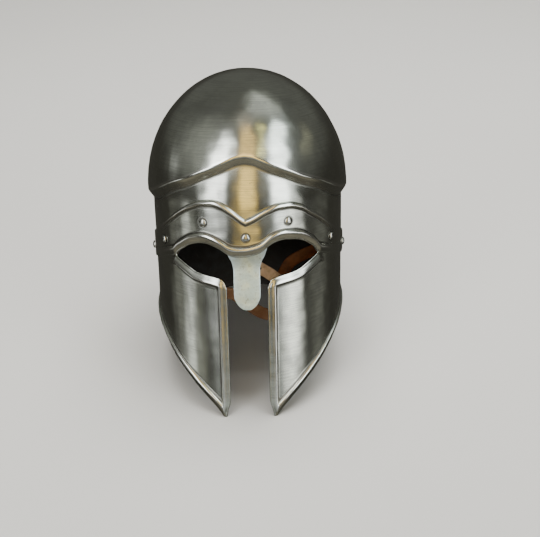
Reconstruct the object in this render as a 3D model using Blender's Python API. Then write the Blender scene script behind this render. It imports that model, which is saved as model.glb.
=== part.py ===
"""Corinthian helmet in sheet steel, with a riveted brow plate, a nose strip and a leather chin strap.

Metres, +Z up, the face toward -Y. The body is drawn upright with its ridge level at height 0,
then leaned back until it stands on the two cheek tips and the rim of the neck guard.
"""
import math

import bmesh
import bpy
import numpy as np

# Main sizes of the body
HALF_WIDTH = 0.1026        # half width across the ridge
FRONT_DEPTH = 0.1213       # from the middle forward to the ridge line
BACK_DEPTH = 0.1303        # from the middle back to the ridge line
DOME_HEIGHT = 0.115        # from the ridge at the sides up to the crown
DROP = 0.2176              # from the ridge at the sides down to the cheek tips
LEAN_DEG = 12.0            # how far the body leans back where it stands
GROUND_REACH = 0.0006      # edges this near to the ground are flattened on it
SHEET = 0.0016             # thickness of the body sheet

# Ridge and step under the dome
CHEVRON_RISE = 0.0507      # rise of the ridge over the forehead
RIDGE_DIP_BACK = 0.008     # fall of the ridge at the back
STEP_DROP = 0.010          # height of the slope under the ridge
STEP_IN_SIDE = 0.0053      # how far the wall stands inside the ridge at the sides
STEP_IN_FRONT = 0.008      # the same at the front
STEP_IN_BACK = 0.006       # the same at the back

# Neck guard
NAPE_IN = 0.017            # how far the nape curves in
GUARD_OUT = 0.012          # how far the guard flares out at its rim
FLARE_START = 0.64         # share of the wall above the flare
NAPE_START_DEG = 92.0      # where the nape curve starts
NAPE_FULL_DEG = 150.0      # where it is full
NAPE_SKEW = 1.4            # how far below its middle the nape is deepest, as a power

# Openings
GAP_EDGE_DEG = 12.1        # angle of the front edges of the cheeks
TIP_DEG = 14.6             # angle of the cheek tips
TIP_ROUND = 0.020          # height over which the front edge turns to the tip
EYE_END_DEG = 46.6         # angle of the outer corner of the eye holes
RIM_END_DEG = 51.5         # angle where the rim of the cheek fades out
COVER = 0.0026             # how far the brow plate covers the upper edge of the eye holes
COVER_FADE_DEG = 40.0      # angle where that cover starts to run out
SEAM_DROP = 0.0008         # how far the rim of the cheek stays below the plate
SAME_DEG = 0.01            # angles closer than this are one column

# Raised rims
SLOPE_STEP_DEG = 0.5       # step over which the slope of an edge is taken
STRETCH_LIMIT = 1.8        # widest a rim may grow along a steep edge
RIM_WIDTH = 0.0087
RIM_HEIGHT = 0.0024
BROW_RIM_WIDTH = 0.0105
BROW_RIM_HEIGHT = 0.0026
BEAD_WIDTH = 0.0062
BEAD_HEIGHT = 0.0022

# Brow plate
PLATE_SHEET = 0.0012
PLATE_GAP = 0.0004         # clearance to the body below it
PLATE_END_DEG = 86.0       # angle of its ends
RIM_ROOM = 1.3             # height of the plate that its two rims need, in rim widths
PLATE_FADE_DEG = 72.0      # where its raised rims fade out

# Nose strip
NASAL_SHEET = 0.0016
NASAL_GAP = 0.0004         # clearance to the body in front of it
NASAL_HALF = 0.0132
NASAL_TOP = 0.022          # below the ridge level
NASAL_TIP = 0.0995         # below the ridge level
NASAL_FORWARD = 0.0035     # how far the tip stands forward
NASAL_FREE = 0.30          # share of its length that the body covers
NASAL_BEVEL = 0.0007       # how far its long edges are bevelled

# Rivets
RIVET_RADIUS = 0.0041
RIVET_RISE = 0.0024
RIVET_GAP = 0.0003
RIVET_SEGMENTS = 16

# Chin strap
STRAP_WIDTH = 0.0120
STRAP_SHEET = 0.0022
STRAP_GAP = 0.0004
STRAP_STEPS = 5
HOLE_RADIUS = 0.0012
HOLE_SEGMENTS = 12
HOLE_SHARE = 0.9           # place of the hole from the end of the strap
HOLE_AXIS = (0.0, -1.0, 0.2)
STRAP_START_DEG = 4.0      # how far behind the end rivet the strap starts
STRAP_LEAVE_DEG = 6.0      # how far in front of it the strap leaves the wall
BUCKLE_HALF_WIDTH = 0.0085
BUCKLE_HALF_LENGTH = 0.0098
BUCKLE_WIRE = 0.0014       # radius of the wire
BUCKLE_CORNER = 2.0        # corner radius in wire radii
BUCKLE_SEGMENTS = 24
WIRE_SIDES = 8

# Ridge over the forehead: angle from the front, share of CHEVRON_RISE
RIDGE = (
    (0.0, 1.000), (4.2, 0.982), (9.0, 0.925), (13.8, 0.852), (19.3, 0.771), (25.0, 0.694),
    (33.0, 0.570), (44.7, 0.420), (53.5, 0.275), (66.0, 0.090), (80.0, 0.010), (90.0, 0.000),
)
# Section of the slope under the ridge: share of STEP_DROP, share of the way in
STEP_SECTION = ((0.18, 0.08), (1.0, 1.0))
# Height of the lower edge over the ground: share of the way from the tip to the back, share of DROP
LOWER_EDGE = (
    (0.0, 0.000), (0.0224, 0.020), (0.0611, 0.066), (0.1028, 0.101), (0.1487, 0.143), (0.1898, 0.169),
    (0.2491, 0.216), (0.2842, 0.236), (0.3349, 0.251), (0.3742, 0.269), (0.4559, 0.278), (0.4982, 0.283),
    (0.5526, 0.230), (0.6252, 0.095), (0.6856, 0.012), (0.7219, 0.000), (1.0, 0.000),
)
# Lower edge of the eye hole: share of the way across it from the face gap, share of DROP from the ridge
EYE_LOWER = (
    (0.0, -0.363), (0.0232, -0.345), (0.0609, -0.326), (0.1333, -0.317), (0.2232, -0.3125),
    (0.3623, -0.308), (0.5536, -0.299), (0.6696, -0.286), (0.7971, -0.271), (0.8870, -0.261), (1.0, -0.248),
)
# Lower edge of the brow plate: station along it, share of DROP from the ridge. Station 0 is the middle,
# 1 the outer corner of the eye hole and 2 the end of the plate.
BROW_LOWER = (
    (0.0, -0.211), (0.1009, -0.209), (0.1652, -0.2045), (0.2103, -0.197), (0.2715, -0.180),
    (0.3240, -0.168), (0.4249, -0.154), (0.4936, -0.150), (0.5622, -0.152), (0.6781, -0.162),
    (0.7554, -0.175), (0.8262, -0.192), (0.9120, -0.215), (1.0, -0.248), (1.1244, -0.262),
    (1.3020, -0.285), (1.6193, -0.312), (1.8477, -0.328), (1.9492, -0.322), (2.0, -0.300),
)
# Upper edge of the brow plate: station, share of DROP
BROW_UPPER = (
    (0.0, -0.050), (0.0622, -0.039), (0.1781, -0.014), (0.2940, 0.007), (0.4120, 0.018), (0.5494, 0.016),
    (0.6931, 0.000), (0.8498, -0.032), (1.0508, -0.080), (1.3020, -0.138), (1.6193, -0.188),
    (1.8477, -0.218), (1.9492, -0.240), (2.0, -0.262),
)
# Section of a raised rim: share of its width from the edge, share of its height
RIM_SECTION = ((0.0, 0.0), (0.37, 0.62), (0.74, 1.0), (1.0, 0.0))
BEAD_SECTION = ((0.0, 0.0), (0.45, 1.0), (1.0, 0.0))
# The plate is fitted by hand and not quite even: station, negative on the left, and the shares of DROP
# that its upper and its lower edge stand higher
UNEVEN = (
    (-2.0, 0.000, 0.000), (-1.35, 0.015, 0.000), (-1.0, 0.012, 0.000), (-0.85, 0.015, -0.005),
    (-0.68, 0.013, -0.0066), (-0.54, 0.018, -0.0070), (-0.43, 0.0215, -0.0110), (-0.30, 0.0232, -0.0122),
    (-0.17, 0.0200, -0.006), (0.0, 0.0085, 0.000), (0.17, 0.0042, 0.009), (0.29, 0.0015, 0.012),
    (0.42, 0.002, 0.008), (0.55, 0.0042, 0.003), (0.70, 0.005, 0.004), (0.84, 0.000, 0.004),
    (1.0, 0.000, 0.000), (2.0, 0.000, 0.000),
)
# Rivets: name, station along the plate, share of DROP
RIVETS = (
    ("rivet_centre", 0.0, -0.124),
    ("rivet_inner_r", 0.526, -0.064),
    ("rivet_inner_l", -0.526, -0.064),
    ("rivet_outer_r", 1.290, -0.195),
    ("rivet_outer_l", -1.255, -0.193),
    ("rivet_end_r", 1.873, -0.283),
    ("rivet_end_l", -1.873, -0.283),
)
# Section of a rivet head from its back to its top: share of its radius, share of its rise
RIVET_SECTION = ((1.0, 0.0), (1.0, 0.22), (0.86, 0.62), (0.5, 0.92))
# Half width of the nose strip: share of its length from the top, share of NASAL_HALF
NASAL_SIDE = (
    (0.00, 1.20), (0.18, 1.62), (0.30, 1.42), (0.40, 1.12), (0.50, 1.00), (0.70, 0.99), (0.83, 0.97),
    (0.90, 0.82), (0.955, 0.60), (1.00, 0.26),
)

# Strap from the right temple to the buckle: shares of HALF_WIDTH, FRONT_DEPTH and DROP
STRAP_RIGHT = (
    (0.815, -0.370, -0.283), (0.695, -0.430, -0.270), (0.507, -0.470, -0.299),
    (0.406, -0.490, -0.328), (0.344, -0.512, -0.377), (0.330, -0.512, -0.415), (0.330, -0.512, -0.437),
)
# Strap from the left temple, past the nose strip, through the buckle and up to its free end
STRAP_LEFT = (
    (-0.815, -0.370, -0.370), (-0.690, -0.440, -0.440), (-0.450, -0.470, -0.490),
    (-0.187, -0.495, -0.471), (-0.030, -0.505, -0.520), (0.117, -0.511, -0.566), (0.235, -0.506, -0.578),
    (0.325, -0.500, -0.550), (0.335, -0.509, -0.503), (0.333, -0.546, -0.460), (0.322, -0.583, -0.418),
    (0.285, -0.602, -0.386), (0.215, -0.600, -0.358), (0.131, -0.617, -0.329), (0.040, -0.632, -0.298),
)
BUCKLE_AT = ((0.333, -0.546, -0.460),)
# Height of the strap where it lies on the wall: shares of DROP at its start and where it leaves
STRAP_ON_WALL_RIGHT = (-0.278, -0.284)
STRAP_ON_WALL_LEFT = (-0.278, -0.308)
# Way that the face of the right strap turns, from the wall to the front: x, y, z
STRAP_FACINGS = (
    (1.0, -0.15, 0.0), (1.0, -0.15, 0.0), (0.77, -0.62, 0.10), (0.35, -0.93, 0.10), (0.05, -0.97, 0.25),
)

# Columns and rows of the meshes
NASAL_ACROSS = (-1.0, -0.86, -0.45, 0.0, 0.45, 0.86, 1.0)
PLATE_STATIONS = (
    0.0, 0.062, 0.122, 0.189, 0.247, 0.322, 0.412, 0.504, 0.601, 0.697, 0.794, 0.891, 1.0, 1.124, 1.289,
    1.492, 1.695, 1.848, 1.949, 2.0,
)
FRONT_SHARES = (0.0, 0.471)
RIM_SHARES = (0.0, 0.37, 0.74, 1.0)
EYE_SHARES = (0.2725, 0.4174, 0.5623, 0.7072, 0.8522, 1.0)
SIDE_SHARES = (
    0.0, 0.0506, 0.1128, 0.1751, 0.2374, 0.2996, 0.3541, 0.4241, 0.4942, 0.5642, 0.6420, 0.7276, 0.8210,
    0.9066,
)
DOME_ROWS = 9
WALL_ROWS = 7
CHEEK_ROWS = 4
PLATE_ROWS = 3


def curve(table, at):
    """Value of a smooth curve through the rows of a table, with no overshoot."""
    knots = np.array([row[0] for row in table], float)
    values = np.array([row[1] for row in table], float)
    step = np.diff(knots)
    slope = np.diff(values) / step
    tangent = np.zeros_like(values)
    tangent[0] = slope[0]
    tangent[-1] = slope[-1]
    for i in range(1, len(values) - 1):
        if slope[i - 1] * slope[i] > 0.0:
            first = 2.0 * step[i] + step[i - 1]
            second = step[i] + 2.0 * step[i - 1]
            tangent[i] = (first + second) / (first / slope[i - 1] + second / slope[i])
    at = min(max(at, knots[0]), knots[-1])
    i = min(int(np.searchsorted(knots, at, side="right")) - 1, len(step) - 1)
    u = (at - knots[i]) / step[i]
    rise = values[i] * (1 + 2 * u) * (1 - u) ** 2 + values[i + 1] * u * u * (3 - 2 * u)
    return rise + step[i] * (tangent[i] * u * (1 - u) ** 2 - tangent[i + 1] * u * u * (1 - u))


def line(table, at):
    """Value on straight lines between the rows of a table."""
    return float(np.interp(at, [row[0] for row in table], [row[1] for row in table]))


def smooth(low, high, at):
    share = min(max((at - low) / (high - low), 0.0), 1.0)
    return share * share * (3.0 - 2.0 * share)


def station(angle):
    """Place along the brow plate: 1 at the outer corner of the eye hole, 2 at the end of the plate."""
    size = abs(angle)
    if size <= EYE_END_DEG:
        return size / EYE_END_DEG
    return 1.0 + (size - EYE_END_DEG) / (PLATE_END_DEG - EYE_END_DEG)


def station_angle(place):
    size = abs(place)
    if size <= 1.0:
        return math.copysign(size * EYE_END_DEG, place)
    return math.copysign(EYE_END_DEG + (size - 1.0) * (PLATE_END_DEG - EYE_END_DEG), place)


def eye_angle(share):
    return GAP_EDGE_DEG + share * (EYE_END_DEG - GAP_EDGE_DEG)


def uneven(column, angle):
    place = math.copysign(station(angle), angle)
    return curve([(row[0], row[column]) for row in UNEVEN], place)


def brow_lower(angle):
    return DROP * (curve(BROW_LOWER, station(angle)) + uneven(2, angle))


def brow_upper(angle):
    return DROP * (curve(BROW_UPPER, station(angle)) + uneven(1, angle))


def ridge_height(angle):
    turn = math.cos(math.radians(angle))
    if turn >= 0.0:
        return CHEVRON_RISE * curve(RIDGE, abs(angle))
    return -RIDGE_DIP_BACK * turn * turn


def step_in(angle):
    turn = math.cos(math.radians(angle))
    end = STEP_IN_FRONT if turn > 0.0 else STEP_IN_BACK
    return STEP_IN_SIDE + (end - STEP_IN_SIDE) * turn * turn


def depth(angle):
    return FRONT_DEPTH if math.cos(math.radians(angle)) >= 0.0 else BACK_DEPTH


def shrink(height):
    share = min(max(height, 0.0) / DOME_HEIGHT, 1.0)
    return math.sqrt(max(1.0 - share * share, 0.0))


def outward(point):
    """Direction straight out of the body at a point of it."""
    reach = FRONT_DEPTH if point[1] < 0.0 else BACK_DEPTH
    up = max(point[2], 0.0) / DOME_HEIGHT ** 2
    normal = np.array([point[0] / HALF_WIDTH ** 2, point[1] / reach ** 2, up])
    return normal / np.linalg.norm(normal)


def body_point(angle, height, inset=0.0, swell=0.0):
    """Point of the body at an angle and height, moved in by inset and out by swell."""
    turn = math.radians(angle)
    scale = shrink(height)
    x = (HALF_WIDTH * scale - inset) * math.sin(turn)
    y = -(depth(angle) * scale - inset) * math.cos(turn)
    point = np.array([x, y, height])
    if swell:
        point = point + outward(np.array([x, y, 0.0])) * swell
    return point


def back_share(angle):
    return smooth(NAPE_START_DEG, NAPE_FULL_DEG, abs(angle))


def nape_swell(angle, share):
    """Swell of the wall at a share of the way from the step to the lower edge."""
    dent = math.sin(math.pi * share ** NAPE_SKEW) ** 2
    flare = (max(share - FLARE_START, 0.0) / (1.0 - FLARE_START)) ** 2
    return back_share(angle) * (GUARD_OUT * flare - NAPE_IN * dent)


def ground(y):
    """Height of the ground under a point of the upright body."""
    return -DROP + (y + FRONT_DEPTH - STEP_IN_FRONT) * math.tan(math.radians(LEAN_DEG))


def edge_height(angle):
    angle = abs(angle)
    rim = body_point(angle, 0.0, step_in(angle), nape_swell(angle, 1.0))
    return ground(rim[1]) + DROP * curve(LOWER_EDGE, (angle - TIP_DEG) / (180.0 - TIP_DEG))


def wall_point(angle, height):
    """Point of the wall below the step."""
    top = ridge_height(angle) - STEP_DROP
    share = (top - height) / (top - edge_height(angle))
    swell = nape_swell(angle, min(max(share, 0.0), 1.0))
    return body_point(angle, height, step_in(angle), swell)


def seam_height(angle):
    """Line that opens into the eye hole and runs on below the brow plate."""
    size = abs(angle)
    if size <= EYE_END_DEG:
        return brow_lower(angle) + COVER * (1.0 - smooth(COVER_FADE_DEG, EYE_END_DEG, size))
    return brow_lower(angle) - SEAM_DROP * smooth(EYE_END_DEG, RIM_END_DEG, size)


def cheek_top(angle):
    size = abs(angle)
    if size <= EYE_END_DEG:
        return DROP * curve(EYE_LOWER, (size - GAP_EDGE_DEG) / (EYE_END_DEG - GAP_EDGE_DEG))
    return seam_height(angle)


def tip_shift(angle, height):
    """Turns the front edge of a cheek out to its tip."""
    reach = eye_angle(EYE_SHARES[0])
    size = abs(angle)
    if size >= reach:
        return angle
    fall = 1.0 - (size - GAP_EDGE_DEG) / (reach - GAP_EDGE_DEG)
    low = edge_height(TIP_DEG)
    share = 1.0 - smooth(low, low + TIP_ROUND, height)
    return math.copysign(size + (TIP_DEG - GAP_EDGE_DEG) * share * fall, angle)


def rim_column(share):
    """Angle of a column at a share of the rim width behind the front edge."""
    radius = HALF_WIDTH - STEP_IN_SIDE
    return GAP_EDGE_DEG + math.degrees(share * RIM_WIDTH / radius)


def slope_stretch(line_height, angle):
    """Length along the height that covers a unit of distance from a sloping edge."""
    low = max(abs(angle) - SLOPE_STEP_DEG, GAP_EDGE_DEG)
    high = abs(angle) + SLOPE_STEP_DEG
    run = math.radians(high - low) * (HALF_WIDTH - STEP_IN_SIDE)
    fall = line_height(high) - line_height(low)
    return min(math.hypot(1.0, fall / run), STRETCH_LIMIT)


class Sheet:
    """Bent sheet: one vertex list for the face, pushed in for the back, closed along its edges."""

    def __init__(self):
        self.front = []
        self.back = []
        self.faces = []

    def add(self, point, rise, thickness):
        out = outward(point)
        self.front.append(point + out * rise)
        self.back.append(point + out * (rise - thickness))
        return len(self.front) - 1

    def strip(self, upper, lower):
        """Joins two rows of vertices, the upper one first, with angles rising."""
        for i in range(len(upper) - 1):
            self.faces.append((upper[i], lower[i], lower[i + 1], upper[i + 1]))

    def solid(self):
        count = len(self.front)
        faces = list(self.faces)
        faces += [tuple(count + i for i in reversed(face)) for face in self.faces]
        used = {}
        for face in self.faces:
            for i in range(len(face)):
                used[(face[i], face[(i + 1) % len(face)])] = True
        for first, second in list(used):
            if (second, first) not in used:
                faces.append((second, first, first + count, second + count))
        return np.array(self.front + self.back), faces


def cheek_rim(side_share, above, below, angle):
    """Rise of the rim at a place, from its distances to the edges around it."""
    near = min(side_share, above, below)
    fade = 1.0 - smooth(EYE_END_DEG, RIM_END_DEG, abs(angle))
    if near == above:
        return RIM_HEIGHT * line(RIM_SECTION, near) * fade
    return RIM_HEIGHT * line(RIM_SECTION, near)


def body_columns():
    half = [GAP_EDGE_DEG * share for share in FRONT_SHARES]
    half += [rim_column(share) for share in RIM_SHARES]
    half += [eye_angle(share) for share in EYE_SHARES]
    half += [RIM_END_DEG + (180.0 - RIM_END_DEG) * share for share in SIDE_SHARES]
    return [-a for a in reversed(half[1:])] + half + [180.0]


def ring(values):
    return values + values[:1]


def shell_mesh():
    sheet = Sheet()
    columns = body_columns()
    pole = sheet.add(np.array([0.0, 0.0, DOME_HEIGHT]), 0.0, SHEET)
    rows = []
    for k in range(1, DOME_ROWS + 1):
        row = []
        for angle in columns:
            low = math.asin(ridge_height(angle) / DOME_HEIGHT)
            lift = math.pi / 2 + (low - math.pi / 2) * k / DOME_ROWS
            row.append(sheet.add(body_point(angle, DOME_HEIGHT * math.sin(lift)), 0.0, SHEET))
        rows.append(row)
    for fall, inset in STEP_SECTION:
        rows.append([sheet.add(
            body_point(a, ridge_height(a) - STEP_DROP * fall, step_in(a) * inset), 0.0, SHEET)
            for a in columns])
    for k in range(1, WALL_ROWS + 1):
        row = []
        for angle in columns:
            top = ridge_height(angle) - STEP_DROP
            height = top + (seam_height(angle) - top) * k / WALL_ROWS
            row.append(sheet.add(wall_point(angle, height), 0.0, SHEET))
        rows.append(row)
    for i, vertex in enumerate(rows[0]):
        sheet.faces.append((pole, vertex, ring(rows[0])[i + 1]))
    for upper, lower in zip(rows, rows[1:]):
        sheet.strip(ring(upper), ring(lower))
    seam = dict(zip(columns, rows[-1]))
    below = {}
    for angle in columns:
        if abs(angle) < GAP_EDGE_DEG - SAME_DEG:
            continue
        below[angle] = cheek_column(sheet, angle, seam)
    order = sorted(a for a in below if a > 0.0)
    right = [below[a] for a in order]
    left = [below[a] for a in sorted(a for a in below if a < 0.0)]
    run = right + left
    for first, second in zip(run, run[1:]):
        for i in range(len(first) - 1):
            sheet.faces.append((first[i], first[i + 1], second[i + 1], second[i]))
    return sheet.solid()


def cheek_column(sheet, angle, seam):
    """Vertices of one column from the eye hole or the seam down to the lower edge."""
    top = cheek_top(angle)
    low = edge_height(max(abs(angle), TIP_DEG))
    stretch_top = slope_stretch(cheek_top, angle) if abs(angle) <= EYE_END_DEG else 1.0
    stretch_low = slope_stretch(edge_height, max(abs(angle), TIP_DEG))
    heights = [top - RIM_WIDTH * share * stretch_top for share in RIM_SHARES]
    start = heights[-1]
    end = low + RIM_WIDTH * stretch_low
    for k in range(1, CHEEK_ROWS + 1):
        heights.append(start + (end - start) * k / (CHEEK_ROWS + 1))
    heights += [low + RIM_WIDTH * share * stretch_low for share in reversed(RIM_SHARES)]
    side = (abs(angle) - GAP_EDGE_DEG) / (rim_column(1.0) - GAP_EDGE_DEG)
    column = []
    for k, height in enumerate(heights):
        joined = k == 0 and abs(angle) >= EYE_END_DEG - SAME_DEG
        if joined:
            column.append(seam[angle])
            continue
        above = (top - height) / (RIM_WIDTH * stretch_top)
        beneath = (height - low) / (RIM_WIDTH * stretch_low)
        rise = cheek_rim(side, above, beneath, angle)
        column.append(sheet.add(wall_point(tip_shift(angle, height), height), rise, SHEET))
    return column


def plate_mesh():
    sheet = Sheet()
    half = [station_angle(place) for place in PLATE_STATIONS]
    columns = [-a for a in reversed(half[1:])] + half
    base = PLATE_GAP + PLATE_SHEET
    rows = []
    for angle in columns:
        size = abs(angle)
        low = brow_lower(angle)
        high = brow_upper(angle)
        tight = min((high - low) / (RIM_ROOM * (BROW_RIM_WIDTH + BEAD_WIDTH)), 1.0)
        fade = 1.0 - smooth(EYE_END_DEG, PLATE_FADE_DEG, size)
        column = []
        for share, rise in BEAD_SECTION:
            column.append((high - BEAD_WIDTH * share * tight, BEAD_HEIGHT * rise * fade))
        upper = high - BEAD_WIDTH * tight
        lower = low + BROW_RIM_WIDTH * tight
        column += [(upper + (lower - upper) * k / PLATE_ROWS, 0.0) for k in range(1, PLATE_ROWS)]
        for share, rise in reversed(RIM_SECTION):
            column.append((low + BROW_RIM_WIDTH * share * tight, BROW_RIM_HEIGHT * rise * fade))
        rows.append([sheet.add(wall_point(angle, height), base + rise, PLATE_SHEET)
                     for height, rise in column])
    for first, second in zip(rows, rows[1:]):
        for i in range(len(first) - 1):
            sheet.faces.append((first[i], first[i + 1], second[i + 1], second[i]))
    return sheet.solid()


def nasal_mesh():
    sheet = Sheet()
    rows = []
    length = NASAL_TIP - NASAL_TOP
    for share, width in NASAL_SIDE:
        height = -NASAL_TOP - length * share
        half = NASAL_HALF * width
        sunk = SHEET + NASAL_GAP
        forward = NASAL_FORWARD * smooth(NASAL_FREE, 1.0, share)
        row = []
        for across in NASAL_ACROSS:
            angle = math.degrees(math.asin(across * half / (HALF_WIDTH - STEP_IN_SIDE)))
            point = wall_point(angle, height)
            bevel = NASAL_BEVEL if abs(across) == 1.0 else 0.0
            row.append(sheet.add(point, forward - sunk - bevel, NASAL_SHEET - bevel))
        rows.append(row)
    for upper, lower in zip(rows, rows[1:]):
        sheet.strip(upper, lower)
    return sheet.solid()


def rivet_mesh(angle, share):
    """Domed rivet head whose flat back stands just off the plate."""
    base = wall_point(angle, DROP * share)
    out = outward(base)
    centre = base + out * (PLATE_GAP + PLATE_SHEET + RIVET_GAP)
    side = np.cross(out, (0.0, 0.0, 1.0))
    side = side / np.linalg.norm(side)
    up = np.cross(side, out)
    verts = [centre]
    for radius, rise in RIVET_SECTION:
        for k in range(RIVET_SEGMENTS):
            turn = 2.0 * math.pi * k / RIVET_SEGMENTS
            spoke = side * math.cos(turn) + up * math.sin(turn)
            verts.append(centre + spoke * RIVET_RADIUS * radius + out * RIVET_RISE * rise)
    verts.append(centre + out * RIVET_RISE)
    faces = []
    for k in range(RIVET_SEGMENTS):
        after = (k + 1) % RIVET_SEGMENTS
        faces.append((0, 1 + k, 1 + after))
        for level in range(len(RIVET_SECTION) - 1):
            a = 1 + level * RIVET_SEGMENTS
            b = a + RIVET_SEGMENTS
            faces.append((a + k, b + k, b + after, a + after))
        top = 1 + (len(RIVET_SECTION) - 1) * RIVET_SEGMENTS
        faces.append((top + k, len(verts) - 1, top + after))
    return np.array(verts), faces


def strap_path(rows):
    """Points of a strap path, from rows of x, y, z as shares of the main sizes of the body."""
    return [np.array([x * HALF_WIDTH, y * FRONT_DEPTH, z * DROP]) for x, y, z in rows]


def anchor(angle, share):
    """Middle of a strap that lies flat on the inside of the wall."""
    base = wall_point(angle, DROP * share)
    return base - outward(base) * (SHEET + STRAP_GAP + STRAP_SHEET / 2)


def strap_mesh(points, facings):
    """Flat strap along a smooth path, turned to the facing given at each of its points."""
    centres = []
    faces_out = []
    last = len(points) - 1
    for i in range(last):
        around = [points[max(i - 1, 0)], points[i], points[i + 1], points[min(i + 2, last)]]
        for k in range(STRAP_STEPS + (1 if i == last - 1 else 0)):
            u = k / STRAP_STEPS
            a, b, c, d = around
            centres.append(0.5 * (2 * b + (c - a) * u + (2 * a - 5 * b + 4 * c - d) * u * u
                                  + (3 * b - a - 3 * c + d) * u ** 3))
            mix = smooth(0.0, 1.0, u)
            faces_out.append(facings[i] * (1 - mix) + facings[i + 1] * mix)
    verts = []
    for i, centre in enumerate(centres):
        along = centres[min(i + 1, len(centres) - 1)] - centres[max(i - 1, 0)]
        along = along / np.linalg.norm(along)
        across = np.cross(along, faces_out[i])
        across = across / np.linalg.norm(across) * STRAP_WIDTH / 2
        thick = np.cross(across, along)
        thick = thick / np.linalg.norm(thick) * STRAP_SHEET / 2
        verts += [centre - across - thick, centre + across - thick,
                  centre + across + thick, centre - across + thick]
    faces = [(0, 1, 2, 3)]
    for i in range(len(centres) - 1):
        for k in range(4):
            after = (k + 1) % 4
            a = 4 * i
            faces.append((a + k, a + 4 + k, a + 4 + after, a + after))
    end = 4 * (len(centres) - 1)
    faces.append((end + 3, end + 2, end + 1, end))
    return np.array(verts), faces


def straps():
    """Both halves of the chin strap: the right one ends at the buckle, the left one runs on."""
    end = station_angle(RIVETS[-2][1])
    start = end + STRAP_START_DEG
    leave = end - STRAP_LEAVE_DEG
    turned = [np.array(facing) for facing in STRAP_FACINGS]
    mirrored = [facing * (-1.0, 1.0, 1.0) for facing in turned]
    front = turned[-1]
    right = [anchor(start, STRAP_ON_WALL_RIGHT[0]), anchor(leave, STRAP_ON_WALL_RIGHT[1])]
    left = [anchor(-start, STRAP_ON_WALL_LEFT[0]), anchor(-leave, STRAP_ON_WALL_LEFT[1])]
    right += strap_path(STRAP_RIGHT)
    left += strap_path(STRAP_LEFT)
    right_out = turned[:-1] + [front] * (len(right) - len(turned) + 1)
    left_out = mirrored[:-1] + [front] * (len(left) - len(turned) + 1)
    return (right, right_out), (left, left_out)


def buckle_mesh():
    """Plain frame of round wire that holds both halves of the strap."""
    centre = strap_path(BUCKLE_AT)[0]
    half = np.array([BUCKLE_HALF_WIDTH, BUCKLE_HALF_LENGTH])
    corner = BUCKLE_CORNER * BUCKLE_WIRE
    path = []
    for k in range(BUCKLE_SEGMENTS):
        turn = 2.0 * math.pi * (k + 0.5) / BUCKLE_SEGMENTS
        sign = np.array([math.copysign(1.0, math.cos(turn)), math.copysign(1.0, math.sin(turn))])
        path.append(sign * (half - corner) + corner * np.array([math.cos(turn), math.sin(turn)]))
    verts = []
    faces = []
    for i, spot in enumerate(path):
        ahead = path[(i + 1) % len(path)] - path[i - 1]
        side = np.array([ahead[1], -ahead[0]]) / np.linalg.norm(ahead)
        for k in range(WIRE_SIDES):
            turn = 2.0 * math.pi * k / WIRE_SIDES
            ring_at = spot + side * BUCKLE_WIRE * math.cos(turn)
            verts.append(centre + np.array([ring_at[0], BUCKLE_WIRE * math.sin(turn), ring_at[1]]))
    for i in range(len(path)):
        after = (i + 1) % len(path)
        for k in range(WIRE_SIDES):
            nxt = (k + 1) % WIRE_SIDES
            here = WIRE_SIDES * i
            there = WIRE_SIDES * after
            faces.append((here + k, there + k, there + nxt, here + nxt))
    return np.array(verts), faces


def lean_back(points):
    """Stands the upright body on its cheek tips and the rim of its neck guard."""
    turn = math.radians(LEAN_DEG)
    out = np.array(points, float)
    y = out[:, 1].copy()
    z = out[:, 2] + DROP - (FRONT_DEPTH - STEP_IN_FRONT) * math.tan(turn)
    out[:, 1] = y * math.cos(turn) + z * math.sin(turn)
    out[:, 2] = z * math.cos(turn) - y * math.sin(turn)
    return out


def level_rim(points):
    """Makes the edges flat where the body stands."""
    out = np.array(points, float)
    out[np.abs(out[:, 2]) < GROUND_REACH, 2] = 0.0
    return out


def material(name, colour, roughness, metallic):
    made = bpy.data.materials.new(name)
    made.use_nodes = True
    shader = made.node_tree.nodes["Principled BSDF"]
    shader.inputs["Base Color"].default_value = (*colour, 1.0)
    shader.inputs["Roughness"].default_value = roughness
    shader.inputs["Metallic"].default_value = metallic
    made.diffuse_color = (*colour, 1.0)
    return made


def add_object(name, verts, faces, made):
    mesh = bpy.data.meshes.new(name)
    mesh.from_pydata([tuple(v) for v in verts], [], faces)
    work = bmesh.new()
    work.from_mesh(mesh)
    bmesh.ops.recalc_face_normals(work, faces=work.faces[:])
    work.to_mesh(mesh)
    work.free()
    mesh.materials.append(made)
    for face in mesh.polygons:
        face.use_smooth = True
    mesh.update()
    thing = bpy.data.objects.new(name, mesh)
    bpy.context.scene.collection.objects.link(thing)
    return thing


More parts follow.
